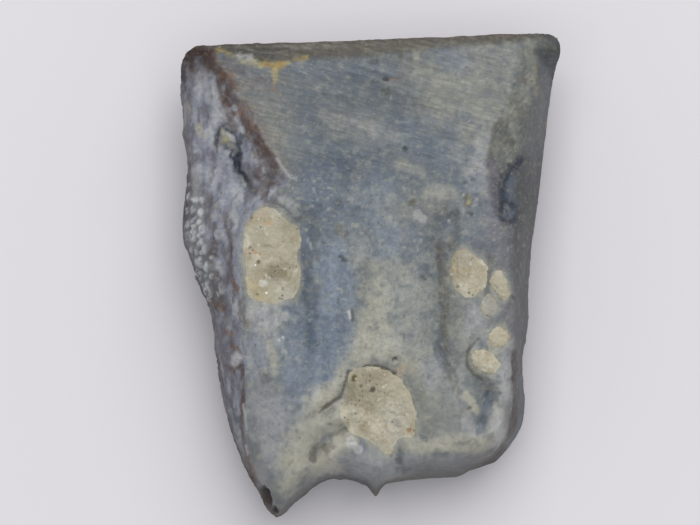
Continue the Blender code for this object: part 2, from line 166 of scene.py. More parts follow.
# The tooth: its large forms
# The dentine face bows gently; it drops to a steep crusted flank on the left, a narrow striped band and a
# rounded wall on the right, a worn bevel at the top and a slope to the broken base.

GROOVE_LEFT = [(-1.9, 1.5), (-1.83, 0.32), (-1.75, -0.84), (-1.57, -2.0), (-1.46, -3.16)]
GROOVE_RIGHT = [
    (2.28, 1.57), (2.11, 0.61), (2.02, -0.7), (2.11, -1.8), (2.49, -2.61), (3.01, -3.13), (3.41, -3.54),
]
CREASE_UPPER = [(-0.68, -3.3), (-0.79, -3.54), (-1.02, -3.68), (-1.31, -3.86), (-1.49, -4.0)]
CREASE_LOWER = [
    (-0.53, -4.41), (-0.82, -4.52), (-1.11, -4.64), (-1.4, -4.73), (-1.54, -4.96), (-1.66, -5.28),
]
CREVICE_LEFT = [(-4.06, 3.66), (-3.92, 3.45), (-3.83, 3.25), (-3.78, 3.02), (-3.6, 2.76), (-3.5, 2.55)]
CREVICE_LOOP = [
    (-4.36, 3.74), (-4.44, 3.95), (-4.42, 4.17), (-4.24, 4.28), (-4.01, 4.25), (-3.84, 4.1), (-3.76, 3.86),
    (-3.8, 3.6), (-3.81, 3.28),
]
CREVICE_RIGHT = [
    (4.3, 3.3), (4.11, 3.07), (3.94, 2.78), (3.85, 2.35), (3.9, 1.97), (4.11, 1.62), (4.25, 1.75),
]

# path, half width, depth
TROUGHS = [
    (GROOVE_LEFT, 0.42, 0.22),
    ([(-0.95, 2.6), (-0.95, 0.4), (-0.95, -2.2)], 0.85, 0.15),
    (GROOVE_RIGHT, 0.4, 0.22),
    (CREASE_UPPER, 0.2, 0.17),
    (CREASE_LOWER, 0.3, 0.19),
    (CREVICE_LEFT, 0.13, 0.22),
    (CREVICE_LOOP, 0.07, 0.08),
    (CREVICE_RIGHT, 0.2, 0.18),
    ([(-3.3, 1.9), (-2.9, 2.1), (-2.4, 1.85), (-2.1, 1.55)], 0.1, 0.06),
    ([(3.1, -1.75), (2.79, -2.25), (2.95, -2.8)], 0.14, 0.05),
]

# x, y, half width, half length, rise
SWELLS = [
    (0.66, -0.7, 1.0, 1.7, 0.18),
    (0.2, -2.3, 1.3, 0.45, 0.12),
    (-2.85, -2.1, 0.6, 1.2, 0.15),
    (-2.5, -4.7, 0.7, 1.1, 0.2),
    (-1.1, -5.1, 0.4, 0.4, 0.15),
    (-0.2, 4.4, 2.6, 1.5, -0.14),
    (0.25, -4.0, 0.95, 1.1, -0.2),
    (3.47, -3.39, 0.24, 0.26, -0.18),
    (3.18, -4.29, 0.28, 0.22, -0.2),
    (-4.14, 3.94, 0.14, 0.2, 0.1),
    (-3.42, 2.62, 0.14, 0.22, 0.08),
    (-1.0, -4.12, 0.3, 0.2, 0.14),
    (-1.15, -3.2, 0.3, 0.35, 0.12),
    (-0.62, -4.83, 0.28, 0.18, 0.12),
    (-4.7, 5.2, 0.4, 0.9, 0.12),
    (-3.9, -2.36, 0.17, 0.2, 0.18),
    (-0.44, -4.84, 0.2, 0.16, 0.1),
    (2.9, 2.1, 0.5, 0.5, -0.06),
]

FACE_HEIGHT = 5.7  # of the open face at its middle
FACE_MIDDLE = 0.5  # how far along Y that is
FLANK_DROP, BAND_DROP, WALL_DROP = 1.75, 0.45, 1.3  # from each ridge to the next line outwards
BEVEL_SLOPE, BASE_SLOPE = 1.0, 1.55  # fall to each millimetre beyond the two ends' ridges
RIDGE_RISE, RIDGE_HALF_WIDTH = 0.06, 0.16  # the lip along the left ridge
WAIST_AT_BASE = 2.2  # the height of the silhouette's edge there
WAIST_RISE, WAIST_END_RISE = 0.9, 1.8  # what it gains by the middle and again at the worn end
KEEL_HALF_WIDTH, KEEL_HALF_LENGTH, KEEL_MIDDLE = 1.1, 3.3, 0.6  # the flat crest that the tooth lies on
FLUTE_RISE, END_RISE = 1.05, 1.1  # from the crest to the flutes beside it and to its ends
MARGIN_DEPTH = 0.22  # how far the margins under the flanks stand out
WORN_PLANE_SLOPE = 5.2  # of the steep plane under the worn edge


def ramp(value, softness):
    """Nothing below 0 and a slope of 1 above it: half of the sum of the value and the root of its square
    plus the softness's square."""
    return 0.5 * (value + np.sqrt(value * value + softness * softness))


def waist_height(y):
    """The height of the silhouette's edge: two smooth steps, from the base to the middle and at the end."""
    return WAIST_AT_BASE + WAIST_RISE * smoothstep(-6, 1, y) + WAIST_END_RISE * smoothstep(5.4, 6.7, y)


def open_face(x, y):
    """A bow that falls with the square of the distance from its middle, less a slope for each side, less a
    Gaussian trough along each groove, plus a Gaussian bell for each swell."""
    beyond, before = np.maximum(y - FACE_MIDDLE, 0), np.minimum(y - FACE_MIDDLE, 0)
    height = FACE_HEIGHT - 0.010 * beyond**2 - 0.024 * before**2 - 0.010 * x * x
    ridge, wall, band = (path_value(path, 0, y) for path in (LEFT_RIDGE, RIGHT_WALL, RIGHT_RIDGE))
    height -= FLANK_DROP * ramp(ridge - x, 0.12) / np.maximum(ridge - path_value(LEFT_SIDE, 0, y), 0.35)
    in_band = ramp(x - band, 0.08) - ramp(x - wall, 0.08)
    height -= BAND_DROP * in_band / np.maximum(wall - band, 0.2) * smoothstep(0.9, 2.4, y)
    height -= WALL_DROP * ramp(x - wall, 0.12) / np.maximum(path_value(RIGHT_SIDE, 0, y) - wall, 0.35)
    height -= BEVEL_SLOPE * ramp(y - path_value(WORN_RIDGE, 1, x), 0.07)
    height -= BASE_SLOPE * ramp(path_value(BASE_RIDGE, 1, x) - y, 0.2)
    for path, half_width, depth in TROUGHS:
        height -= depth * np.exp(-((distance(smooth_path(path, 24), x, y) / half_width) ** 2))
    for centre_x, centre_y, half_width, half_length, rise in SWELLS:
        height += rise * np.exp(-(((x - centre_x) / half_width) ** 2) - ((y - centre_y) / half_length) ** 2)
    from_ridge = distance(smooth_path(LEFT_RIDGE, 80), x, y)
    return height + RIDGE_RISE * np.exp(-((from_ridge / RIDGE_HALF_WIDTH) ** 2)) * smoothstep(7.0, 5.8, y)


def rounding(inset, radius):
    """A quarter circle: 0 at the silhouette and 1 from the radius inwards."""
    t = np.clip(inset / radius, 0, 1)
    return np.sqrt(1 - (1 - t) ** 2)


def top_height(x, y, inset):
    """The open face, brought down to the silhouette's edge by a quarter circle."""
    edge = waist_height(y)
    shoulder = smoothstep(1, 4.5, x) * smoothstep(6.6, 5.2, y)
    radius = 0.34 + 0.3 * shoulder + 0.4 * smoothstep(-3.5, -6, y)
    return edge + (np.maximum(open_face(x, y), edge + 0.15) - edge) * rounding(inset, radius)


def under_height(x, y, inset):
    """The keel's flat crest at 0, a smooth step up to a flute on each side and at each end, a Gaussian
    ridge along the margin, a quarter circle up to the silhouette's edge, and a steep plane under the worn
    edge."""
    beside = smoothstep(0, 2.2, np.abs(x) - KEEL_HALF_WIDTH)
    beyond = smoothstep(0, 3.2, np.abs(y - KEEL_MIDDLE) - KEEL_HALF_LENGTH)
    waves = 0.05 * np.sin(1.9 * x + 0.7 * y) * np.sin(1.3 * y - 0.6 * x)
    margin = MARGIN_DEPTH * np.exp(-(((inset - 1.0) / 0.5) ** 2))
    relief = (waves - margin) * np.maximum(beside, beyond)
    edge = waist_height(y)
    height = edge - (edge - FLUTE_RISE * beside - END_RISE * beyond - relief) * rounding(inset, 1.1)
    worn_end = edge - WORN_PLANE_SLOPE * (path_value(WORN_SIDE, 1, x) - y)
    return np.maximum(height, np.where(y > 5, worn_end, 0))


# The tooth: its fine relief
# Crust and blisters on the left flank, wear scratches on the facet, grains of sediment in the hollows,
# pits, and the two small holes at the tip.

# the borders of the hollows that hold sandstone
SANDSTONE = {
    "sandstone_left": [
        (-2.97, 2.0), (-2.59, 1.83), (-2.33, 1.59), (-2.04, 1.33), (-2.01, 0.87), (-2.1, 0.52),
        (-2.01, 0.09), (-2.1, -0.41), (-2.44, -0.73), (-2.97, -0.81), (-3.4, -0.67), (-3.57, -0.29),
        (-3.66, 0.35), (-3.66, 0.96), (-3.55, 1.48), (-3.31, 1.86),
    ],
    "sandstone_right": [
        (2.31, 0.29), (2.41, 0.58), (2.54, 0.75), (2.68, 0.8), (2.81, 0.75), (3.07, 0.55),
        (3.33, 0.36), (3.43, 0.28), (3.41, 0.15), (3.33, -0.17), (3.21, -0.43), (3.01, -0.57),
        (2.68, -0.57), (2.46, -0.38), (2.33, -0.15), (2.28, 0.06),
    ],
    "sandstone_base": [
        (-0.59, -2.81), (-0.24, -2.64), (0.17, -2.62), (0.6, -2.76), (0.95, -3.05), (1.18, -3.51),
        (1.33, -4.06), (1.3, -4.58), (0.86, -4.7), (0.69, -5.05), (0.45, -5.2), (0.25, -4.96),
        (-0.18, -4.7), (-0.62, -4.5), (-0.85, -4.06), (-0.82, -3.65), (-0.67, -3.25),
    ],
    "sandstone_crumb_1": [
        (3.44, -0.2), (3.56, 0.09), (3.79, 0.12), (3.94, -0.17), (4.03, -0.5), (3.85, -0.67),
        (3.65, -0.49),
    ],
    "sandstone_crumb_2": [
        (3.24, -0.64), (3.36, -0.52), (3.5, -0.55), (3.63, -0.75), (3.65, -0.99), (3.52, -1.13),
        (3.33, -1.1), (3.21, -0.9),
    ],
    "sandstone_crumb_3": [
        (3.41, -1.74), (3.53, -1.51), (3.76, -1.45), (3.97, -1.62), (3.99, -1.86), (3.79, -2.03),
        (3.53, -1.97),
    ],
    "sandstone_crumb_4": [
        (2.9, -2.36), (3.01, -2.15), (3.3, -2.12), (3.56, -2.29), (3.73, -2.58), (3.56, -2.78),
        (3.21, -2.76), (2.97, -2.58),
    ],
}

# x, y, half width, depth
PITS = [
    (0.43, 5.68, 0.07, 0.1), (0.38, 5.28, 0.09, 0.1), (0.98, 3.65, 0.07, 0.08), (2.75, 2.67, 0.07, 0.1),
    (2.95, 2.76, 0.06, 0.08), (2.78, 2.23, 0.09, 0.12), (2.89, 1.77, 0.07, 0.1), (1.21, 2.12, 0.09, 0.1),
    (0.7, -2.41, 0.09, 0.12), (1.5, -0.03, 0.07, 0.08), (-0.9, 1.25, 0.1, 0.09), (-0.87, 0.5, 0.1, 0.1),
    (-0.35, 1.95, 0.08, 0.08), (-0.95, 2.1, 0.09, 0.08), (-0.7, -1.13, 0.06, 0.08), (0.15, 6.3, 0.08, 0.06),
    (-0.4, 6.42, 0.06, 0.05), (0.85, 6.4, 0.06, 0.05), (-0.05, -3.3, 0.11, 0.1), (-0.47, -2.93, 0.1, 0.12),
]

# x, y, half width, half length, turn in degrees
TIP_HOLES = [(-3.03, -6.4, 0.14, 0.31, 16.0), (-2.76, -6.83, 0.09, 0.12, -18.0)]

# turn in degrees, where along X the scratches begin and are at their full strength, seed
SCRATCHES = [(-17, -0.9, 0.2, 21), (-8, 0.2, -0.9, 24)]

# the largest blisters of the crust: x, y, radius, share of a ring's shape against a dome's
BLISTERS = [
    (-5.17, 1.16, 0.16, 0.8), (-4.91, 1.83, 0.125, 0.1), (-4.85, 2.18, 0.104, 0.3),
    (-4.82, 1.33, 0.133, 0.8), (-4.85, 0.96, 0.116, 0.1), (-4.76, 0.75, 0.139, 0.1),
    (-5.0, 0.38, 0.145, 0.5), (-4.73, 0.23, 0.122, 0.1), (-4.56, 0.55, 0.075, 0.0),
    (-4.5, 0.7, 0.064, 0.0), (-4.79, -0.49, 0.104, 0.3), (-4.73, -0.23, 0.087, 0.3),
    (-4.33, 1.19, 0.174, 0.6), (-4.27, -0.35, 0.16, 0.6), (-4.3, 2.06, 0.145, 0.5),
    (-5.05, 2.2, 0.087, 0.3), (-5.14, 1.89, 0.093, 0.5), (-5.29, 1.48, 0.104, 0.5),
    (-4.97, 1.57, 0.087, 0.3), (-5.2, 0.75, 0.087, 0.3), (-5.02, 0.03, 0.087, 0.2),
    (-4.59, -0.7, 0.075, 0.2),
]
# and small ones at random in a band along the left edge
BLISTER_COUNT = 46
BLISTER_BAND = [(-5.25, 2.6), (-5.12, 1.9), (-5.1, 1.0), (-4.9, 0.2), (-4.6, -0.7)]
BLISTER_HALF_WIDTH = 0.36
LATTICE = 64  # points each way of the noise's table, after which it repeats


def noise(x, y, z, size, seed):
    """Values from -1 to 1 at random on a cubic lattice of the given spacing, blended between its corners
    with the quintic 6t⁵ - 15t⁴ + 10t³ along each axis."""
    table = np.random.default_rng(seed).uniform(-1, 1, (LATTICE, LATTICE, LATTICE))
    cells, shares = [], []
    for value, offset in ((x, 11.3), (y, 23.7), (z, 5.9)):
        scaled = value / size + offset
        cell = np.floor(scaled)
        t = scaled - cell
        cells.append(cell.astype(int))
        shares.append(t * t * t * (t * (6 * t - 15) + 10))
    total = 0
    for corner in range(8):
        steps = (corner & 1, corner >> 1 & 1, corner >> 2)
        index = tuple((cell + step) % LATTICE for cell, step in zip(cells, steps))
        weight = 1
        for share, step in zip(shares, steps):
            weight = weight * (share if step else 1 - share)
        total = total + table[index] * weight
    return total


def layered_noise(x, y, z, size, seed, layers=3):
    """The sum of noises, each of half the size and half the height of the one before."""
    return sum(0.5**k * noise(x, y, z, size * 0.5**k, seed + k) for k in range(layers))


def turned(x, y, degrees):
    """Coordinates along and across a direction at the given angle to X."""
    angle = math.radians(degrees)
    return x * math.cos(angle) + y * math.sin(angle), y * math.cos(angle) - x * math.sin(angle)


def inside(border, x, y, low, high):
    """A smooth step of the depth inside a closed border, from 0 at the low depth to 1 at the high one. The
    depth is negative outside, which shows in how often a ray along X crosses the border."""
    ring = np.vstack([border, border[:1]])
    crossings = np.zeros(np.shape(x), int)
    for (ax, ay), (bx, by) in zip(ring, ring[1:]):
        spans = (ay > y) != (by > y)
        crossings += spans & (x < (bx - ax) * (y - ay) / (by - ay + 1e-12) + ax)
    signed = np.where(crossings % 2 == 1, 1, -1) * distance(ring, x, y)
    return smoothstep(low, high, signed)


def regions(x, y):
    """Shares from 0 to 1 that say which part of the upper side each point is on, from smooth steps across
    the ridges."""
    ridge, wall, band = (path_value(path, 0, y) for path in (LEFT_RIDGE, RIGHT_WALL, RIGHT_RIDGE))
    flank = smoothstep(0.08, -0.08, x - ridge)
    right_wall = smoothstep(-0.1, 0.1, x - wall)
    in_band = smoothstep(-0.08, 0.08, x - band)
    from_blisters = distance(smooth_path(BLISTER_BAND, 16), x, y) / BLISTER_HALF_WIDTH
    return {
        "flank": flank,
        "wall": right_wall,
        "band": in_band * (1 - right_wall),
        "facet": smoothstep(2.4, 3.6, y) * (1 - flank) * (1 - in_band),
        "bevel": smoothstep(-0.1, 0.12, y - path_value(WORN_RIDGE, 1, x)),
        "base": smoothstep(-0.12, 0.12, path_value(BASE_RIDGE, 1, x) - y),
        "blisters": smoothstep(1.6, 0.6, from_blisters),
    }


def scratches(x, y, z):
    """Noise stretched some sixteen times along each of the two directions of wear. Smooth steps along X
    part them: one is on the left of the facet, the other on the right."""
    total = 0
    for degrees, start, full, seed in SCRATCHES:
        along, across = turned(x, y, degrees)
        lines = noise(along, across * 16, z, 1.3, seed) + 0.7 * noise(along, across * 18, z, 0.7, seed + 1)
        total = total + lines * smoothstep(start, full, x)
    return total


def hole_shares(x, y):
    """For each hole at the tip, the distance from its middle as a share of the half size, along the turned
    axes of its ellipse."""
    for centre_x, centre_y, half_width, half_length, degrees in TIP_HOLES:
        across, along = turned(x - centre_x, y - centre_y, degrees)
        yield np.hypot(across / half_width, along / half_length)


def fine_relief(x, y, z, region, inset):
    """Heights along the surface's normal: layered noise everywhere, coarser on the flank, stretched along
    the scratches on the facet, rings for the blisters, Gaussian pits, and sunk borders of the sandstone."""
    relief = 0.02 * layered_noise(x, y, z, 0.9, 1) + 0.008 * layered_noise(x, y, z, 0.16, 5, 2)
    streaks = layered_noise(x * 1.6, y * 0.6, z, 0.34, 11)
    relief += region["flank"] * (0.05 * streaks + 0.02 * noise(x, y, z, 0.09, 15))
    relief += 0.006 * region["facet"] * scratches(x, y, z)
    grainy = region["band"] + 0.5 * region["blisters"]
    relief += grainy * 0.018 * noise(x * 1.8, y * 0.8, z, 0.12, 31)
    for centre_x, centre_y, half_width, depth in PITS:
        squared = (x - centre_x) ** 2 + (y - centre_y) ** 2
        relief -= depth * np.exp(-squared / (0.6 * half_width) ** 2)
    relief += 0.12 * blisters(x, y, z)
    for border in SANDSTONE.values():
        relief -= 0.2 * inside(smooth_path(border, 48, closed=True), x, y, 0.04, 0.18)
    for share in hole_shares(x, y):
        relief -= 0.45 * smoothstep(1.15, 0.75, share) * smoothstep(0.0, 0.14, inset)
    return relief


def blister_places():
    """The listed blisters, and random places along the band's path, off it by a normal spread."""
    random = np.random.default_rng(7)
    line = smooth_path(BLISTER_BAND, BLISTER_COUNT)
    off = random.normal(0, 0.5 * BLISTER_HALF_WIDTH, (BLISTER_COUNT, 2))
    radius = random.uniform(0.035, 0.08, BLISTER_COUNT)
    small = np.column_stack([line + off, radius, random.uniform(0, 0.6, BLISTER_COUNT)])
    return np.vstack([BLISTERS, small])


def blisters(x, y, z):
    """Each blister is a Gaussian ring blended with a Gaussian dome, both of the distance in space from its
    centre on the surface; where they meet, the highest one counts."""
    height = np.zeros(np.shape(x))
    wobble = 0.035 * noise(x, y, z, 0.2, 91)
    for centre_x, centre_y, radius, ringed in blister_places():
        across = np.hypot(x - centre_x, 0.85 * (y - centre_y))
        centre_z = z.flat[np.argmin(across)]
        from_centre = np.hypot(across, 0.7 * (z - centre_z)) + wobble
        ring = np.exp(-(((from_centre - 0.65 * radius) / (0.38 * radius)) ** 2))
        dome = np.exp(-((from_centre / (0.75 * radius)) ** 2))
        height = np.maximum(height, ring * ringed + dome * (1 - ringed))
    return height


def normals(points):
    """The unit cross product of the steps to the neighbours along both directions of the grid."""
    across, along = np.gradient(points, axis=1), np.gradient(points, axis=0)
    normal = np.cross(across, along)
    return normal / np.maximum(np.linalg.norm(normal, axis=-1, keepdims=True), 1e-9)


# The tooth: its stains, painted shade and painted highlights
# Iron, manganese and clay have stained the dentine grey, blue-grey, cream and rust. Each stain is a path or
# a patch with a colour, and noise breaks up its edge. Dark lines in the crevices, grooves, creases and pits
# and along the base plug's rim are painted shade. The wall, the bevel's ends and the rim towards the base
# are partly darkened with painted shade, and a few white dots and lines are painted highlights.

COLOUR = {
    "grey": (0.158, 0.173, 0.172),
    "ash": (0.178, 0.188, 0.183),
    "warm grey": (0.205, 0.211, 0.188),
    "bronze": (0.084, 0.079, 0.067),
    "steel": (0.12, 0.15, 0.198),
    "blue": (0.078, 0.104, 0.142),
    "pale blue": (0.19, 0.235, 0.3),
    "lavender": (0.252, 0.268, 0.317),
    "lilac grey": (0.29, 0.292, 0.312),
    "purple": (0.14, 0.133, 0.158),
    "pale": (0.35, 0.355, 0.36),
    "cream": (0.36, 0.352, 0.29),
    "pale cream": (0.40, 0.388, 0.32),
    "speckled": (0.275, 0.288, 0.27),
    "sandy": (0.215, 0.218, 0.19),
    "slope": (0.305, 0.317, 0.322),
    "brown": (0.08, 0.046, 0.038),
    "dark brown": (0.045, 0.03, 0.022),
    "rust": (0.26, 0.15, 0.045),
    "ochre": (0.33, 0.28, 0.12),
    "navy": (0.03, 0.038, 0.055),
    "near black": (0.045, 0.045, 0.048),
    "umber": (0.075, 0.068, 0.054),
    "dun": (0.134, 0.12, 0.096),
    "russet": (0.16, 0.085, 0.045),
    "taupe": (0.125, 0.11, 0.115),
    "tan": (0.36, 0.29, 0.2),
    "dusk": (0.10, 0.098, 0.11),
    "plum": (0.062, 0.05, 0.05),
    "olive": (0.10, 0.102, 0.092),
    "slate": (0.075, 0.078, 0.079),
    "white": (0.50, 0.505, 0.50),
}

# colour, path, half width, strength
STAINS = [
    # the wear facet, the dip below it and the band beside it
    ("ash", [(-3.14, 5.1), (-2.47, 3.94), (-2.04, 3.22)], 0.7, 0.7),
    ("warm grey", [(1.3, 5.68), (3.76, 5.92)], 0.87, 0.85),
    ("warm grey", [(2.89, 5.1), (2.46, 4.23)], 0.75, 0.8),
    ("warm grey", [(3.76, 4.81), (3.53, 3.8)], 0.35, 0.6),
    ("steel", [(-2.04, 5.92), (-0.73, 5.97), (0.43, 5.83)], 0.35, 0.6),
    ("blue", [(-1.46, 5.34), (-0.73, 5.54), (-0.01, 5.1)], 0.46, 0.45),
    ("blue", [(-1.52, 2.84), (-1.02, 3.42), (-0.24, 3.22)], 0.7, 0.85),
    ("blue", [(-2.04, 2.2), (-1.52, 2.64)], 0.46, 0.5),
    ("steel", [(0.72, 4.09), (1.59, 3.65), (2.66, 3.28)], 0.43, 0.6),
    ("blue", [(0.72, 4.58), (1.15, 4.35)], 0.26, 0.4),
    ("pale", [(-0.36, 4.58), (0.05, 4.29), (0.34, 3.94)], 0.2, 0.35),
    ("steel", [(-1.3, 2.3), (-0.8, 1.9)], 0.7, 0.8),
    # the two navy spots sit in pits: painted shade in them
    ("navy", [(-0.99, 2.12), (-0.96, 1.94)], 0.15, 0.45),
    ("navy", [(-0.36, 1.89), (-0.27, 1.8)], 0.15, 0.5),
    ("blue", [(0.05, 2.49), (0.86, 2.73), (2.31, 2.84)], 0.41, 0.55),
    ("blue", [(0.92, 5.34), (0.86, 4.67)], 0.35, 0.6),
    ("blue", [(1.67, 3.71), (2.25, 4.0)], 0.32, 0.65),
    ("blue", [(-2.15, 5.1), (-1.89, 4.58), (-1.52, 4.06)], 0.38, 0.6),
    ("steel", [(2.02, 6.38), (2.66, 6.09)], 0.35, 0.6),
    ("warm grey", [(-3.14, 5.22), (-2.85, 4.58), (-2.47, 3.8)], 0.2, 0.6),
    ("steel", [(2.89, 2.06), (3.18, 1.48)], 0.58, 0.6),
    ("purple", [(3.53, 2.93), (3.76, 1.77), (3.91, 1.04)], 0.41, 0.7),
    # the middle, from the pale swell out to the grooves and the left margin
    ("steel", [(0.86, 1.19), (1.59, 0.9), (1.79, 0.41)], 0.52, 0.6),
    ("blue", [(1.3, 1.57), (2.31, 1.57)], 0.23, 0.55),
    ("cream", [(0.37, 0.15), (0.2, -0.5), (0.05, -1.42)], 0.46, 0.7),
    ("pale cream", [(-0.73, -2.2), (-0.01, -1.91), (1.15, -2.15)], 0.43, 0.9),
    ("speckled", [(0.92, -0.41), (1.01, -1.42)], 0.64, 0.75),
    ("pale blue", [(-1.02, 0.41), (-1.08, -0.7), (-1.31, -2.0), (-1.6, -3.16)], 0.64, 0.85),
    ("steel", [(-1.17, -1.71), (-2.04, -3.16), (-2.33, -3.6)], 0.52, 0.5),
    # the narrow blue line down the left groove, under its steep wall, is painted shade
    ("blue", [(-1.83, 1.28), (-1.86, 0.17), (-1.72, -0.7), (-1.66, -2.0)], 0.2, 0.85),
    ("steel", [(-2.15, -1.04), (-2.1, -1.86)], 0.23, 0.6),
    ("steel", [(-0.94, -1.86), (-0.88, -2.2)], 0.2, 0.5),
    ("pale", [(-3.14, -1.04), (-2.97, -1.42)], 0.43, 0.9),
    ("lavender", [(-3.43, -2.0), (-3.26, -2.87)], 0.41, 0.7),
    ("pale cream", [(-2.88, -2.0), (-2.79, -2.73)], 0.15, 0.7),
    ("pale blue", [(-2.47, -2.0), (-2.27, -2.78)], 0.29, 0.6),
    # the lower lobe, the rim around the base plug and the slope to the broken base
    ("lilac grey", [(-3.05, -3.6), (-2.76, -4.47)], 0.64, 0.8),
    ("pale cream", [(-1.46, -3.45), (-1.69, -4.32), (-2.04, -5.05)], 0.38, 0.75),
    ("pale cream", [(-2.27, -5.39), (-2.47, -5.92)], 0.38, 0.8),
    ("grey", [(-3.14, -5.19), (-2.97, -5.92)], 0.23, 0.5),
    ("pale cream", [(-0.53, -2.49), (-0.94, -3.16), (-1.52, -3.74)], 0.26, 0.85),
    ("pale cream", [(-0.88, -3.83), (-1.02, -4.32)], 0.26, 0.75),
    ("pale cream", [(-0.44, -4.7), (-1.02, -5.05), (-1.52, -5.63)], 0.29, 0.75),
    ("pale cream", [(0.72, -2.49), (1.44, -2.87), (1.79, -3.6)], 0.26, 0.6),
    ("warm grey", [(1.59, -3.16), (2.17, -3.89), (1.73, -4.47)], 0.41, 0.6),
    ("slope", [(-0.53, -5.48), (0.43, -5.34), (0.86, -5.77)], 0.46, 0.85),
    ("slope", [(1.15, -5.28), (2.02, -5.39), (3.18, -5.28)], 0.26, 0.7),
    # a second coat: pale patches of the facet, the right groove and the right margin
    ("cream", [(1.73, 2.46), (2.08, 2.44), (2.46, 2.43)], 0.19, 0.5),
    ("cream", [(0.8, 3.3), (1.2, 3.15), (1.45, 3.02)], 0.14, 0.35),
    ("pale", [(3.2, 3.75), (3.2, 3.2), (3.05, 2.75)], 0.26, 0.65),
    # the olive lines at the right groove are olive grains, darkened further as painted shade under its wall
    ("olive", [(2.0, 0.9), (2.08, 0.17), (2.12, -0.7), (2.11, -1.42), (2.17, -2.15)], 0.15, 0.8),
    ("olive", [(2.02, 0.81), (2.37, 0.96)], 0.17, 0.6),
    ("sandy", [(2.2, -0.41), (2.37, -0.99), (2.46, -1.57)], 0.26, 0.75),
    ("blue", [(1.85, -1.57), (2.0, -2.29), (2.28, -3.02)], 0.2, 0.5),
    ("pale", [(3.01, -1.22), (3.07, -1.8)], 0.32, 0.7),
    ("purple", [(3.85, -0.84), (4.11, -1.57)], 0.26, 0.7),
    ("purple", [(3.33, 0.9), (3.76, 0.41)], 0.29, 0.6),
    ("pale", [(3.91, -2.78), (4.11, -3.45)], 0.29, 0.5),
    ("pale", [(2.46, -2.96), (2.66, -3.6)], 0.26, 0.4),
    ("pale cream", [(3.68, -4.12), (3.76, -4.76), (3.18, -4.9)], 0.35, 0.75),
    ("pale cream", [(-1.25, -5.39), (-0.94, -5.57)], 0.2, 0.7),
    # a third coat: the middle, both grooves, the lower face and the slope
    ("cream", [(-0.12, 0.7), (0.08, -0.7), (-0.12, -1.71)], 0.26, 0.38),
    ("pale blue", [(-2.24, -1.04), (-2.04, -2.0)], 0.26, 0.4),
    ("speckled", [(-0.7, 1.48), (-0.5, 0.52)], 0.26, 0.45),
    ("speckled", [(-0.15, 4.0), (0.72, 4.18)], 0.26, 0.25),
    ("pale", [(3.94, -2.78), (4.08, -3.6)], 0.17, 0.6),
    ("pale", [(3.7, -4.12), (3.88, -4.81)], 0.23, 0.6),
    ("speckled", [(4.05, 6.32), (3.97, 5.74)], 0.23, 0.4),
    ("pale blue", [(0.05, 2.35), (0.28, 0.9)], 0.52, 0.5),
    ("pale blue", [(-1.31, -1.71), (-1.11, -2.58)], 0.29, 0.4),
    ("pale cream", [(-1.28, -4.18), (-0.88, -4.18)], 0.2, 0.6),
    ("speckled", [(2.49, -1.62), (2.69, -2.29)], 0.25, 0.6),
    ("ash", [(1.7, 1.48), (1.7, 0.17)], 0.23, 0.6),
    ("speckled", [(1.62, -0.41), (1.56, -1.57), (1.21, -2.0)], 0.35, 0.6),
    ("pale", [(1.73, -2.44), (1.79, -3.16)], 0.26, 0.6),
    ("sandy", [(1.38, -3.36), (1.56, -4.18)], 0.26, 0.55),
    ("speckled", [(2.37, -3.1), (2.31, -3.89), (2.31, -4.41)], 0.35, 0.5),
    ("speckled", [(2.92, -1.8), (2.83, -2.67)], 0.25, 0.8),
    ("pale", [(2.89, -4.18), (3.01, -4.52)], 0.23, 0.6),
    ("pale", [(3.99, -1.94), (4.05, -2.58), (4.02, -3.25)], 0.2, 0.7),
    ("pale cream", [(-1.2, -5.39), (-1.08, -5.05)], 0.23, 0.7),
    ("pale", [(-3.02, -5.68), (-2.85, -5.05)], 0.29, 0.45),
    ("pale cream", [(-2.39, -4.76), (-1.75, -4.76)], 0.29, 0.45),
    ("pale cream", [(1.15, -4.84), (2.31, -4.76), (3.76, -4.76)], 0.2, 0.85),
]

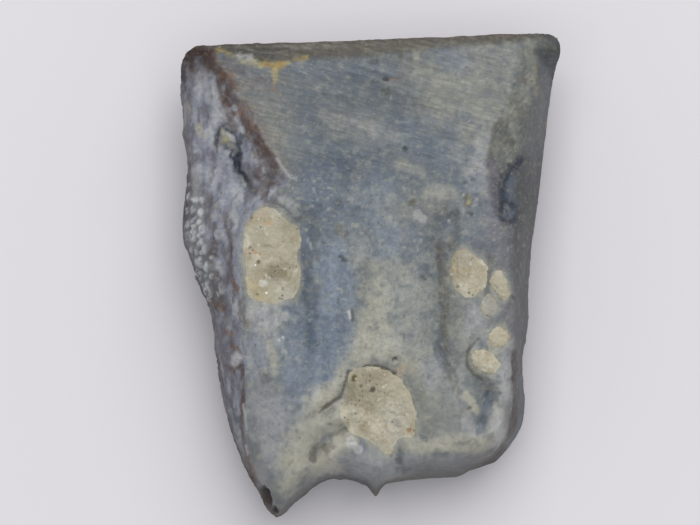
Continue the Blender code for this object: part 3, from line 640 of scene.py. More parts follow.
# colour, path, half width, strength, raggedness of the edge
MARKS = [
    # ochre veins at the worn edge
    ("ochre", [
        (-4.39, 6.55), (-4.13, 6.44), (-3.84, 6.24), (-3.49, 6.12), (-3.14, 6.09),
    ], 0.07, 0.7, 0.5),
    ("rust", [(-4.39, 6.55), (-4.07, 6.41)], 0.06, 0.35, 0.8),
    ("ochre", [(-3.34, 6.12), (-2.97, 6.09), (-2.62, 6.09), (-2.39, 6.15)], 0.1, 0.9, 0.6),
    ("rust", [(-3.02, 6.09), (-2.79, 6.03), (-2.56, 6.09)], 0.1, 0.7, 0.8),
    ("ochre", [(-2.76, 5.97), (-2.76, 5.68), (-2.79, 5.39)], 0.11, 0.8, 0.8),
    ("rust", [(-2.76, 5.57), (-2.79, 5.39)], 0.09, 0.4, 0.8),
    ("ochre", [(-2.21, 6.26), (-1.86, 6.29)], 0.06, 0.6, 1.0),
    ("rust", [(-2.1, 6.26), (-1.86, 6.29)], 0.04, 0.35, 1.0),
    ("pale", [(-3.78, 6.35), (-3.43, 6.38)], 0.09, 0.7, 0.8),
    ("pale cream", [(-3.69, 6.24), (-3.31, 6.21)], 0.06, 0.5, 1.0),
    ("slate", [(-3.49, 6.53), (-3.14, 6.41), (-2.85, 6.29)], 0.07, 0.5, 0.8),
    ("steel", [(-4.01, 6.21), (-3.63, 5.97), (-3.14, 5.8)], 0.12, 0.5, 1.0),
    ("steel", [(-4.3, 6.35), (-3.92, 6.03), (-3.49, 5.74)], 0.12, 0.35, 1.0),
    # the rusty band beside the left ridge
    ("dark brown", [(-5.05, 6.32), (-4.85, 6.5), (-4.62, 6.35)], 0.2, 0.85, 0.7),
    ("brown", [(-4.15, 6.26), (-3.92, 5.95)], 0.17, 0.45, 1.2),
    ("taupe", [(-3.55, 5.51), (-3.11, 5.6), (-2.73, 5.45)], 0.23, 0.6, 1.0),
    ("taupe", [(-3.05, 2.78), (-2.85, 2.41)], 0.2, 0.55, 0.8),
    ("brown", [(-5.23, 6.26), (-5.02, 6.44), (-4.76, 6.38), (-4.59, 6.09)], 0.2, 0.9, 0.7),
    ("dark brown", [(-5.17, 6.44), (-4.94, 6.5), (-4.76, 6.26)], 0.15, 0.8, 0.8),
    ("lavender", [(-5.02, 6.15), (-5.02, 6.03)], 0.09, 0.6, 1.0),
    ("brown", [(-5.23, 6.26), (-5.14, 5.97)], 0.1, 0.6, 1.0),
    ("near black", [(-5.4, 6.21), (-5.4, 5.68), (-5.4, 5.34)], 0.07, 0.75, 1.0),
    ("brown", [(-4.65, 6.26), (-4.47, 6.03), (-4.27, 5.8)], 0.13, 0.75, 0.8),
    ("russet", [(-4.24, 5.8), (-4.01, 5.68), (-3.89, 5.45)], 0.12, 0.6, 1.0),
    ("brown", [(-4.33, 5.57), (-4.27, 5.22), (-4.15, 4.93)], 0.15, 0.75, 0.7),
    ("brown", [(-4.07, 5.57), (-3.92, 5.22), (-3.95, 4.93)], 0.12, 0.6, 1.0),
    ("russet", [(-3.78, 4.81), (-3.6, 4.58), (-3.46, 4.29)], 0.15, 0.6, 1.0),
    ("brown", [(-4.13, 4.7), (-4.04, 4.5)], 0.07, 0.5, 1.0),
    ("brown", [(-3.69, 4.47), (-3.43, 4.15), (-3.26, 3.86), (-3.08, 3.65)], 0.15, 0.5, 0.8),
    ("brown", [(-3.2, 3.94), (-2.99, 3.6), (-2.82, 3.28)], 0.15, 0.85, 0.6),
    ("brown", [(-3.31, 3.6), (-3.17, 3.22), (-3.2, 2.84)], 0.1, 0.6, 1.0),
    ("taupe", [(-2.97, 3.22), (-2.85, 2.84), (-3.02, 2.44)], 0.23, 0.75, 0.6),
    ("brown", [(-2.76, 3.13), (-2.59, 2.87), (-2.85, 2.64)], 0.09, 0.5, 1.0),
    ("pale", [(-2.68, 3.36), (-2.53, 3.13), (-2.36, 2.9), (-2.15, 2.81)], 0.05, 0.6, 0.6),
    ("brown", [(-4.15, 5.25), (-4.07, 4.76), (-3.98, 4.23)], 0.15, 0.6, 0.8),
    ("slate", [(-4.13, 6.29), (-3.69, 6.03), (-3.26, 5.8)], 0.15, 0.5, 0.8),
    ("taupe", [(-3.14, 5.74), (-2.76, 5.45)], 0.17, 0.4, 0.8),
    # the crevice in the left flank: its navy lines and the slate at its lower end are painted shade down
    # the crack
    ("navy", [
        (-4.44, 3.74), (-4.44, 4.03), (-4.36, 4.21), (-4.18, 4.26), (-4.01, 4.15), (-3.86, 4.0),
        (-3.81, 3.77), (-3.78, 3.48),
    ], 0.06, 0.9, 0.5),
    ("navy", [(-4.18, 3.68), (-4.01, 3.62), (-4.04, 3.45), (-3.89, 3.36)], 0.08, 0.95, 0.6),
    ("navy", [(-3.92, 3.42), (-3.86, 3.19), (-3.78, 2.99), (-3.63, 2.93), (-3.6, 2.76)], 0.11, 1.0, 0.6),
    ("navy", [(-3.86, 3.42), (-3.78, 3.19)], 0.14, 0.8, 0.8),
    ("navy", [(-3.75, 4.09), (-3.75, 3.83)], 0.05, 0.7, 0.6),
    ("brown", [(-4.44, 3.86), (-4.44, 3.51)], 0.05, 0.5, 1.0),
    ("pale cream", [(-4.24, 4.12), (-4.1, 3.92), (-4.04, 3.74)], 0.12, 0.9, 0.6),
    ("ochre", [(-4.27, 4.03), (-4.18, 3.86)], 0.07, 0.5, 1.0),
    ("slate", [(-3.52, 2.7), (-3.4, 2.49)], 0.16, 0.75, 0.4),
    ("white", [(-3.69, 2.76), (-3.6, 2.61)], 0.05, 0.5, 1.0),
    # streaks and specks down the left flank
    ("lavender", [(-4.71, 2.23), (-4.59, 1.86)], 0.17, 0.6, 0.8),
    ("taupe", [(-5.31, 5.1), (-5.34, 4.38), (-5.23, 3.65), (-5.29, 2.93)], 0.09, 0.6, 1.2),
    ("purple", [(-4.56, 3.22), (-4.65, 2.64), (-4.47, 2.06)], 0.12, 0.5, 1.2),
    ("brown", [
        (-4.68, 2.32), (-4.56, 1.48), (-4.56, 0.75), (-4.47, -0.12), (-4.47, -0.7),
    ], 0.12, 0.45, 1.2),
    ("dusk", [(-4.3, 1.77), (-4.3, 0.75), (-4.18, -0.41), (-4.18, -1.28)], 0.15, 0.3, 1.2),
    ("navy", [(-4.13, -3.45), (-3.98, -4.03), (-3.89, -4.61)], 0.09, 0.35, 1.2),
    ("pale cream", [(-5.34, 4.99), (-5.31, 4.81)], 0.07, 0.5, 1.0),
    ("pale cream", [(-5.0, 4.29), (-4.88, 4.06)], 0.12, 0.7, 0.7),
    ("purple", [(-5.34, 3.94), (-5.23, 3.36)], 0.15, 0.5, 1.0),
    ("slate", [(-5.05, 3.51), (-4.88, 3.36)], 0.07, 0.5, 0.8),
    ("white", [(-4.97, 5.86), (-4.94, 5.51)], 0.09, 0.4, 1.2),
    ("white", [(-4.68, 5.8), (-4.53, 5.34)], 0.1, 0.35, 1.2),
    ("white", [(-4.27, 4.76), (-4.15, 4.55)], 0.1, 0.4, 1.0),
    ("brown", [(-4.04, 1.57), (-4.04, 0.46), (-3.95, -0.7)], 0.07, 0.5, 1.2),
    ("brown", [(-4.18, 1.74), (-4.13, 1.19)], 0.06, 0.4, 1.2),
    ("russet", [(-3.98, -0.17), (-3.89, -0.35)], 0.07, 0.6, 1.0),
    ("russet", [(-4.53, -0.75), (-4.36, -0.93)], 0.12, 0.7, 1.0),
    ("russet", [(-4.18, -1.57), (-4.04, -1.68)], 0.1, 0.6, 1.0),
    ("brown", [(-4.3, 0.03), (-4.13, -0.26)], 0.09, 0.4, 1.0),
    ("russet", [(-3.81, -0.78), (-3.72, -1.04), (-3.57, -1.39)], 0.09, 0.6, 1.0),
    ("brown", [
        (-3.78, -2.58), (-3.66, -3.02), (-3.69, -3.6), (-3.72, -4.32), (-3.66, -4.9), (-3.49, -5.48),
        (-3.31, -5.97),
    ], 0.08, 0.85, 0.6),
    ("russet", [(-3.66, -4.9), (-3.49, -5.48), (-3.34, -5.86)], 0.05, 0.5, 0.6),
    ("russet", [(-4.07, -2.06), (-3.89, -2.06), (-3.75, -2.18)], 0.08, 0.7, 0.6),
    ("brown", [(-4.1, -2.61), (-3.92, -2.7), (-3.75, -2.58)], 0.08, 0.6, 0.6),
    ("navy", [(-4.13, -1.94), (-4.04, -2.03)], 0.07, 0.4, 1.0),
    ("white", [(-3.95, -2.47), (-3.86, -2.35)], 0.16, 0.85, 0.25),
    ("blue", [(-4.13, -3.6), (-3.98, -4.12)], 0.12, 0.5, 0.8),
    # these two thin white lines along the ridge's edge are a painted highlight
    ("white", [(-3.69, -3.71), (-3.6, -4.12), (-3.57, -4.52)], 0.04, 0.5, 1.0),
    ("white", [(-3.6, -4.93), (-3.55, -5.13)], 0.04, 0.6, 0.8),
    ("bronze", [(-3.14, -2.84), (-2.99, -2.99)], 0.12, 0.65, 0.8),
    ("pale", [(-3.52, -2.32), (-3.43, -2.55), (-3.49, -2.78)], 0.09, 0.35, 1.5),
    # the right band and its crevice
    ("warm grey", [(3.99, 3.39), (4.08, 3.02)], 0.17, 0.5, 0.8),
    ("olive", [(3.76, 4.47), (3.59, 4.09), (3.47, 3.65), (3.41, 3.22)], 0.1, 0.65, 0.8),
    ("olive", [(3.76, 4.23), (3.99, 3.89)], 0.12, 0.5, 1.0),
    ("olive", [(4.08, 3.94), (4.11, 3.86)], 0.07, 0.6, 0.8),
    ("russet", [(4.43, 5.68), (4.46, 5.51)], 0.09, 0.3, 1.5),
    ("ochre", [(4.78, 5.97), (4.84, 5.25)], 0.06, 0.3, 1.5),
    ("pale", [(3.88, 4.9), (3.99, 4.76)], 0.07, 0.4, 1.5),
    ("purple", [(3.53, 3.22), (3.62, 2.49), (3.68, 1.77)], 0.17, 0.65, 0.8),
    # the navy, dusk and blue lines below are painted shade down the crevice and in its hook
    ("navy", [
        (4.31, 3.33), (4.14, 3.07), (3.99, 2.87), (3.9, 2.55), (3.87, 2.2), (3.91, 1.97),
    ], 0.14, 0.95, 0.5),
    ("navy", [(4.05, 3.1), (3.96, 2.73)], 0.18, 0.8, 0.8),
    ("navy", [(3.76, 2.64), (3.76, 1.77)], 0.23, 0.4, 1.0),
    ("dusk", [(4.14, 2.9), (4.11, 2.3), (4.14, 1.9)], 0.16, 0.6, 0.8),
    ("blue", [(4.08, 2.73), (4.05, 2.32)], 0.12, 0.6, 0.8),
    ("navy", [
        (3.85, 2.12), (3.76, 1.86), (3.88, 1.62), (4.08, 1.57), (4.2, 1.8), (4.11, 2.03),
    ], 0.1, 0.9, 0.6),
    ("blue", [(3.91, 1.86), (4.05, 1.8)], 0.12, 0.6, 1.0),
    # dark lines down the two grooves, painted shade under their walls, then specks and pits of the face;
    # the dark spots on the pits are painted shade
    ("speckled", [(1.65, 0.52), (1.79, 0.12)], 0.2, 0.5, 0.8),
    ("taupe", [(-2.97, 2.23), (-2.85, 1.91)], 0.17, 0.5, 0.8),
    ("steel", [(1.15, 4.35), (1.73, 4.41)], 0.2, 0.35, 0.8),
    ("steel", [(2.17, 6.09), (2.54, 6.21)], 0.2, 0.3, 0.8),
    ("steel", [(0.51, -0.12), (0.63, -0.41)], 0.2, 0.4, 0.8),
    ("grey", [(-3.52, -3.13), (-2.88, -3.25)], 0.26, 0.5, 0.8),
    ("blue", [(-1.89, 3.65), (-1.46, 2.93), (-0.94, 2.26), (-0.73, 1.77)], 0.52, 0.35, 0.8),
    ("blue", [(-1.4, 1.97), (-1.17, 1.77)], 0.2, 0.35, 1.0),
    # painted shade under the left groove's steep wall
    ("blue", [
        (-1.95, 1.39), (-1.86, 0.41), (-1.83, -0.41), (-1.75, -1.22), (-1.69, -1.91),
    ], 0.17, 0.6, 0.8),
    ("navy", [(-1.86, 0.41), (-1.83, -0.41), (-1.78, -0.93)], 0.09, 0.35, 0.8),
    ("blue", [(-0.85, 0.41), (-0.82, -0.41), (-0.85, -1.57)], 0.12, 0.4, 1.0),
    # olive-brown grains down the right groove, darkened as painted shade under its wall
    ("bronze", [(1.96, 0.81), (2.08, 0.17), (2.11, -0.7), (2.11, -1.33)], 0.12, 0.65, 0.8),
    ("bronze", [(2.05, -1.33), (2.14, -2.15), (2.31, -2.78), (2.54, -3.31)], 0.12, 0.5, 1.0),
    ("near black", [(1.94, 0.75), (2.02, -0.12), (2.05, -0.99)], 0.06, 0.35, 0.8),
    ("pale cream", [(0.49, -0.2), (0.43, -0.99), (0.37, -1.57)], 0.23, 0.4, 1.0),
    ("pale", [(-1.78, 1.04), (-1.72, 0.78)], 0.04, 0.5, 0.8),
    ("near black", [(-1.52, 0.58), (-1.52, 0.43)], 0.06, 0.5, 0.8),
    ("bronze", [(-0.91, 1.36), (-0.76, 1.16)], 0.1, 0.6, 1.0),
    ("pale", [(-0.88, 1.28), (-0.82, 1.22)], 0.05, 0.5, 1.0),
    ("near black", [(-0.85, 0.55), (-0.76, 0.46)], 0.06, 0.7, 0.8),
    ("white", [(-0.62, -1.04), (-0.59, -1.19)], 0.06, 0.85, 0.4),
    ("bronze", [(-0.53, -0.99), (-0.5, -1.28)], 0.05, 0.7, 0.6),
    ("pale cream", [(-0.53, 1.48), (-0.36, 1.48)], 0.04, 0.5, 1.0),
    # these three tiny white dots are painted glints
    ("white", [(-2.53, -1.74), (-2.5, -1.8)], 0.03, 0.9, 0.4),
    ("white", [(-2.65, -1.83), (-2.62, -1.86)], 0.03, 0.8, 0.4),
    ("white", [(-3.02, -0.46), (-2.99, -0.49)], 0.03, 0.8, 0.4),
    ("pale", [(-2.53, -2.15), (-2.39, -2.29), (-2.07, -2.41)], 0.06, 0.5, 1.2),
    ("near black", [(0.02, 6.15), (0.17, 6.18)], 0.07, 0.6, 0.8),
    ("near black", [(0.83, 6.35), (0.89, 6.32)], 0.06, 0.6, 0.8),
    ("near black", [(0.37, 5.66), (0.51, 5.66)], 0.04, 0.8, 0.6),
    ("russet", [(0.6, 5.68), (0.78, 5.68)], 0.04, 0.5, 1.0),
    ("near black", [(0.51, 5.39), (0.54, 5.22)], 0.06, 0.6, 0.8),
    ("pale", [(0.6, 5.19), (0.6, 5.05)], 0.04, 0.4, 1.0),
    ("near black", [(1.01, 3.68), (1.04, 3.65)], 0.06, 0.7, 0.8),
    ("near black", [(2.69, 2.7), (2.78, 2.61)], 0.07, 0.75, 0.6),
    ("near black", [(2.89, 2.87), (3.01, 2.76)], 0.06, 0.6, 0.8),
    ("bronze", [(2.78, 2.32), (2.83, 2.09)], 0.12, 0.6, 0.8),
    ("ochre", [(2.81, 2.29), (2.83, 2.12)], 0.06, 0.8, 0.6),
    ("near black", [(2.83, 1.83), (2.92, 1.8)], 0.06, 0.6, 0.8),
    ("bronze", [(1.21, 2.15), (1.3, 2.06)], 0.09, 0.6, 1.0),
    ("near black", [(1.91, 1.71), (2.2, 1.77), (2.54, 1.86)], 0.06, 0.4, 1.2),
    ("slate", [(2.02, 1.57), (2.46, 1.68)], 0.12, 0.45, 1.2),
    ("pale", [(1.36, 1.8), (1.5, 1.62)], 0.1, 0.6, 1.0),
    ("pale", [(2.05, 1.65), (2.25, 1.59)], 0.06, 0.5, 1.0),
    ("pale", [(1.15, 0.99), (1.21, 0.7)], 0.04, 0.5, 1.0),
    ("pale", [(1.27, 1.04), (1.3, 0.87)], 0.04, 0.5, 1.0),
    ("near black", [(1.53, 0.0), (1.56, -0.09)], 0.06, 0.7, 0.6),
    ("near black", [(0.65, -2.44), (0.75, -2.39)], 0.09, 0.75, 0.6),
    ("pale", [(-2.5, 2.23), (-2.3, 2.06), (-2.1, 1.71)], 0.13, 0.5, 0.8),
    ("pale", [(-2.85, -1.02), (-2.5, -1.1), (-2.21, -1.22)], 0.26, 0.5, 0.8),
    # spots at the lower right
    ("near black", [(4.07, -0.58), (4.1, -0.64)], 0.05, 0.7, 0.5),
    ("steel", [(4.37, -3.02), (4.43, -3.74), (4.31, -4.47), (4.08, -5.05)], 0.1, 0.6, 0.8),
    ("steel", [(2.66, 2.55), (3.12, 2.73)], 0.23, 0.6, 0.8),
    ("pale", [(3.79, -2.87), (3.99, -3.36)], 0.19, 0.85, 0.8),
    ("pale", [(3.47, -4.29), (3.76, -4.52), (3.85, -4.79)], 0.2, 0.7, 0.8),
    # this slate line beside the right plug's edge is painted shadow
    ("slate", [(3.44, 0.52), (3.44, 0.03), (3.36, -0.46), (3.47, -0.78)], 0.09, 0.6, 0.6),
    ("slate", [(2.46, -4.87), (3.07, -4.79)], 0.13, 0.45, 0.6),
    ("pale cream", [(3.44, -1.94), (3.59, -2.12)], 0.15, 0.6, 0.8),
    ("pale cream", [(3.27, -2.49), (3.53, -2.84)], 0.17, 0.45, 0.8),
    ("pale", [(3.85, -4.12), (3.79, -4.52), (3.62, -4.84)], 0.17, 0.5, 0.8),
    ("pale cream", [(1.3, -4.87), (2.31, -4.93), (3.33, -4.99)], 0.12, 0.45, 1.2),
    ("bronze", [
        (3.12, -1.8), (2.89, -2.06), (2.78, -2.29), (2.81, -2.55), (2.98, -2.81), (3.21, -2.99),
    ], 0.06, 0.75, 0.6),
    ("cream", [(2.78, -3.42), (2.92, -3.62), (3.12, -3.92)], 0.12, 0.9, 0.6),
    ("near black", [(2.81, -3.83), (2.89, -3.8)], 0.04, 0.7, 0.5),
    ("blue", [(3.42, -3.44), (3.46, -3.58)], 0.14, 0.7, 0.6),
    ("navy", [(3.38, -3.44), (3.44, -3.54)], 0.12, 0.3, 0.8),
    ("blue", [(3.33, -3.74), (3.24, -4.12), (3.18, -4.41)], 0.16, 0.65, 0.8),
    ("pale", [(2.69, -4.21), (2.92, -4.32)], 0.1, 0.6, 1.0),
    ("blue", [(1.5, -4.61), (1.62, -4.7)], 0.13, 0.55, 0.8),
    ("dusk", [(4.26, -2.0), (4.26, -2.87)], 0.12, 0.55, 0.8),
    ("purple", [(4.02, -3.02), (3.97, -3.74), (3.91, -4.32)], 0.12, 0.5, 0.8),
    ("dark brown", [
        (4.14, -2.2), (4.17, -2.87), (4.2, -3.54), (4.17, -4.03), (4.05, -4.5), (3.85, -4.93),
        (3.62, -5.28), (3.33, -5.51),
    ], 0.11, 0.95, 0.4),
    ("plum", [(4.26, -3.16), (4.26, -3.89), (4.11, -4.47)], 0.17, 0.5, 0.8),
    ("white", [(3.55, -2.97), (3.85, -3.28)], 0.2, 0.3, 0.8),
    ("white", [(3.62, -4.35), (3.8, -4.62)], 0.2, 0.35, 0.8),
    # painted shadow between the right plug and the first crumb
    ("slate", [(3.4, 0.48), (3.52, 0.2)], 0.14, 0.4, 0.8),
    # lines and spots around the base plug
    ("pale cream", [(-1.28, -5.37), (-1.05, -5.57)], 0.17, 0.7, 0.8),
    # painted shade in the lower crease
    ("umber", [(-1.31, -4.96), (-1.02, -4.81)], 0.12, 0.55, 0.8),
    ("blue", [(0.86, -5.31), (1.01, -5.63)], 0.17, 0.35, 0.8),
    ("slate", [(-0.7, -5.54), (-0.59, -5.74)], 0.15, 0.4, 0.8),
    # this dark line and the slate after it are painted shade where the broken base's edge curves under
    ("near black", [(-1.4, -6.06), (-0.99, -6.0), (-0.59, -5.97), (-0.18, -6.09)], 0.19, 0.9, 0.6),
    ("slate", [(-0.65, -5.8), (-0.41, -5.92)], 0.12, 0.7, 0.8),
    ("slate", [(0.8, -4.99), (0.86, -5.34), (0.98, -5.63)], 0.13, 0.6, 1.0),
    ("steel", [(-0.27, -4.76), (-0.21, -4.99)], 0.12, 0.6, 0.8),
    ("umber", [(-0.07, -6.21), (0.17, -6.47)], 0.17, 0.5, 0.8),
    ("tan", [(0.75, -2.73), (0.92, -2.67)], 0.15, 0.5, 0.8),
    # this umber spot and the long umber line two rows below are painted shadow of the tooth's lip over the
    # sunk plug's upper rim
    ("umber", [(-0.5, -2.76), (-0.41, -2.93)], 0.09, 0.9, 0.5),
    ("russet", [(-0.47, -2.87), (-0.44, -2.96)], 0.06, 0.5, 0.8),
    ("umber", [
        (-0.62, -2.76), (-0.44, -2.78), (-0.3, -2.73), (-0.12, -2.61), (0.17, -2.61), (0.46, -2.67),
        (0.69, -2.8),
    ], 0.06, 0.85, 0.5),
    # these two umber lines are painted shade in the upper crease
    ("umber", [
        (-0.6, -2.75), (-0.7, -2.95), (-0.77, -3.2), (-0.86, -3.45), (-1.05, -3.6), (-1.3, -3.78),
        (-1.49, -3.95),
    ], 0.055, 0.75, 0.6),
    ("umber", [(-1.11, -3.8), (-1.34, -3.92)], 0.13, 0.45, 0.6),
    # these two umber lines are painted shade in the lower crease
    ("umber", [
        (-0.53, -4.41), (-0.82, -4.52), (-1.11, -4.64), (-1.4, -4.73), (-1.54, -4.96), (-1.66, -5.28),
    ], 0.1, 0.5, 0.8),
    ("umber", [(-1.57, -4.7), (-1.69, -5.19)], 0.12, 0.4, 0.8),
    ("pale cream", [(-0.96, -4.76), (-0.76, -4.79)], 0.13, 0.8, 0.6),
    ("white", [(-0.56, -4.7), (-0.47, -4.9), (-0.38, -5.0)], 0.13, 0.85, 0.6),
    # painted shadow along the plug's right rim
    ("umber", [(0.95, -3.19), (1.15, -3.54), (1.33, -3.94)], 0.07, 0.35, 0.8),
    ("steel", [(-0.66, -2.5), (-0.52, -2.62)], 0.16, 0.35, 0.8),
]


def lay(tint, colour, share):
    """Brings the tint towards a colour, given as its name or its channels, by the share held between 0
    and 1."""
    tint += (np.array(COLOUR.get(colour, colour)) - tint) * np.clip(share, 0, 1)[..., None]


def stained(x, y, z, region, inset):
    """Each stain is laid with its strength times a smooth step of the distance to its path, measured from
    points that noise has moved. Over them come mottles, then the colours of the flank, wall, band and
    ends, whose shares are products of smooth steps. The wall's slate, the umber at the bevel's ends and the
    dark rim towards the broken base are partly painted shade. Returns the tint and its two kinds of
    mottling."""
    tint = np.broadcast_to(np.array(COLOUR["grey"]), (*x.shape, 3)).copy()
    mottle = layered_noise(x, y, z, 0.7, 41, 4)
    fine = layered_noise(x, y, z, 0.2, 47, 3)
    blotches = layered_noise(x * 1.7, y * 0.75, z, 0.42, 53, 4)
    shift_x, shift_y = (layered_noise(x, y, z, 0.6, seed, 4) for seed in (101, 111))
    for name, path, half_width, strength in STAINS:
        reach = min(0.45 * half_width, 0.2)
        away = distance(smooth_path(path, 12), x + reach * shift_x, y + reach * shift_y)
        away += 0.25 * half_width * fine
        lay(tint, name, strength * smoothstep(1.7 * half_width, 0.25 * half_width, away))

    flank, band = region["flank"], region["band"]
    busy = 1 - 0.65 * smoothstep(0.5, -3.0, y)
    low = smoothstep(0.2, -3.2, y)
    worn = smoothstep(2.2, 3.2, y)
    sediment = np.clip(0.35 + 0.9 * blotches - 0.3 * smoothstep(4.8, 3.8, y), 0, 0.8)
    on_ridge = distance(smooth_path(LEFT_RIDGE, 80) + [-0.05, 0], x + 0.12 * shift_x, y)
    pale_ridge = 0.8 * smoothstep(0.2, 0.08, on_ridge) * smoothstep(-0.4, 0.2, y) * smoothstep(2.4, 1.8, y)
    dark_ridge = 0.6 * smoothstep(0.5, 0.1, on_ridge + 0.1 * fine) * smoothstep(2.4, 3.2, y)
    glow = smoothstep(0.5, 0.05, x - path_value(LEFT_RIDGE, 0, y) + 0.1 * fine) * smoothstep(2.6, 3.4, y)
    for name, share in (
        ("blue", 0.26 * busy * smoothstep(0.15, 0.8, mottle)),
        ("cream", 0.18 * busy * smoothstep(0.25, 0.8, -mottle)),
        ("blue", 0.3 * busy * smoothstep(0.2, 0.7, fine)),
        ("cream", 0.22 * busy * smoothstep(0.3, 0.8, -fine)),
        ("lavender", flank),
        ("purple", 0.75 * flank * smoothstep(0.05, 0.55, blotches)),
        ("white", 0.42 * flank * smoothstep(0.1, 0.6, -blotches)),
        ("purple", flank * low * np.clip(0.35 + 0.8 * blotches, 0, 1)),
        # the wall's slate is its own colour, deepened into painted shade of the steep side
        ("slate", region["wall"] * (0.95 - 0.3 * smoothstep(3.0, 4.0, y))),
        ("bronze", band * worn * (0.5 - 0.25 * smoothstep(4.8, 5.6, y))),
        ("sandy", band * worn * sediment),
        ("purple", band * (1 - worn) * smoothstep(0.4, 1.4, y) * np.clip(0.6 + blotches, 0, 1)),
        ("lavender", pale_ridge),
        ("taupe", flank * dark_ridge),
        ("russet", 0.3 * (1 - flank) * glow),
        ("dun", region["bevel"] * np.clip(0.9 + 0.3 * blotches, 0, 1)),
        # the umber at the bevel's ends is partly its own brown and partly painted shade of the steep bevel
        ("umber", region["bevel"] * (0.8 * smoothstep(-2.4, -3.6, x) + 0.5 * smoothstep(1.5, 3.5, x))),
        # these two darken the slope to the broken base and the rim below it: painted shade where the
        # surface turns under
        ("slate", 0.75 * region["base"] * smoothstep(0.85, 0.2, inset) * smoothstep(0.4, 1.6, x)),
        ("umber", 0.85 * smoothstep(0.35, 0.0, inset) * smoothstep(-4.4, -5.4, y)),
    ):
        lay(tint, name, share)
    return tint * streaks(x, y, z, region)[..., None], mottle, fine


def streaks(x, y, z, region):
    """A factor on the colour: the scratches on the facet, noise stretched four times along the fibres of
    the crown elsewhere, and smooth steps that darken the upper half a little and lighten its right side."""
    facet = region["facet"]
    fibres = layered_noise(x * 2.2, y * 0.6, z, 0.35, 87, 3)
    factor = 1 + 0.08 * fibres * (1 - facet) - 0.13 * facet
    factor -= 0.07 * smoothstep(-1.5, 1.5, y) * (1 - region["flank"])
    factor += 0.13 * smoothstep(0.8, 3.0, x) * smoothstep(2.4, 3.6, y)
    factor += 0.06 * facet * smoothstep(5.4, 4.2, y)
    wander = 0.1 * noise(x, y, z, 0.9, 89)
    depth = 0.075 + 0.035 * smoothstep(-0.5, 1.5, x)
    factor += depth * facet * scratches(x, y + wander, z)
    return np.clip(factor, 0.5, 1.5)


def marks(tint, x, y, z, region, inset, mottle, fine):
    """The small and sharp marks, laid on top of the stains in the same way, with brown edges and corners
    under them and the blisters, specks and tip holes over them. The umber in the blisters' gaps is painted
    shade, and their white tops carry a painted highlight."""
    flank = region["flank"]
    left_corner = smoothstep(1.0, 0.2, np.hypot(x + 5.0, y - 6.35) + 0.25 * mottle)
    right_corner = smoothstep(0.95, 0.15, np.hypot(x - 5.4, y - 6.8) + 0.2 * fine)
    lay(tint, "brown", 0.6 * smoothstep(0.12, 0.0, inset) * flank)
    lay(tint, "brown", 0.4 * smoothstep(0.14, 0.0, inset) * smoothstep(5.5, 6.3, y))
    lay(tint, "brown", 0.45 * left_corner)
    lay(tint, "slate", 0.95 * right_corner)
    lay(tint, "near black", 0.35 * right_corner)
    for border in SANDSTONE.values():
        lay(tint, "cream", 0.5 * inside(smooth_path(border, 48, closed=True), x, y, -0.18, 0.02))
    for name, path, half_width, strength, ragged in MARKS:
        away = distance(smooth_path(path, 16), x, y) + half_width * ragged * fine
        lay(tint, name, strength * smoothstep(1.3 * half_width, 0.4 * half_width, away))
    blistered = blisters(x, y, z)
    # umber in the low gaps between the blisters is painted shade, and white on their raised tops is their
    # pale crust with a painted highlight
    lay(tint, "umber", 0.45 * region["blisters"] * smoothstep(0.45, 0.1, blistered))
    lay(tint, "white", 0.85 * (0.3 + 0.7 * region["blisters"]) * smoothstep(0.25, 0.75, blistered))
    specks = noise(x, y, z, 0.1, 67)
    level = (1 - flank) * (1 - region["wall"]) * (1 - region["base"])
    lay(tint, "pale cream", smoothstep(0.55, 0.85, specks) * (0.35 - 0.2 * region["facet"]) * level)
    lay(tint, "navy", 0.3 * smoothstep(0.62, 0.85, -specks) * level)
    for share in hole_shares(x, y):
        lay(tint, "dark brown", smoothstep(1.2, 0.9, share))


def silhouette():
    """The four sides as one closed path."""
    sides = (LEFT_SIDE, BASE_SIDE, RIGHT_SIDE, WORN_SIDE[::-1])
    return np.vstack([smooth_path(side, 120)[:-1] for side in sides] + [LEFT_SIDE[:1]])


def upper_surface():
    """The upper side's grid: large forms as heights, then the fine relief along the normal, held in to the
    silhouette near the rim. A point's looks are its tint and its shares of crust, scratches and grain."""
    x, y = plan_grid(COLUMNS, ROWS)
    inset = distance(silhouette(), x, y)
    inset[[0, -1], :] = 0
    inset[:, [0, -1]] = 0
    z = top_height(x, y, inset)
    points = np.stack([x, y, z], axis=-1)
    region = regions(x, y)
    relief = fine_relief(x, y, z, region, inset)
    near_rim = smoothstep(0.3, 0.0, inset)
    relief = relief * (1 - near_rim) + np.minimum(relief - 0.045, 0) * near_rim
    tint, mottle, fine = stained(x, y, z, region, inset)
    marks(tint, x, y, z, region, inset, mottle, fine)
    crust = np.clip(region["flank"] + 0.6 * region["band"] + 0.4 * near_rim, 0, 1)
    grainy = 1 - 0.55 * smoothstep(-2.2, -4.5, y) - 0.3 * region["facet"]
    looks = np.dstack([tint, crust, region["facet"], grainy])
    return points + normals(points) * relief[..., None], looks


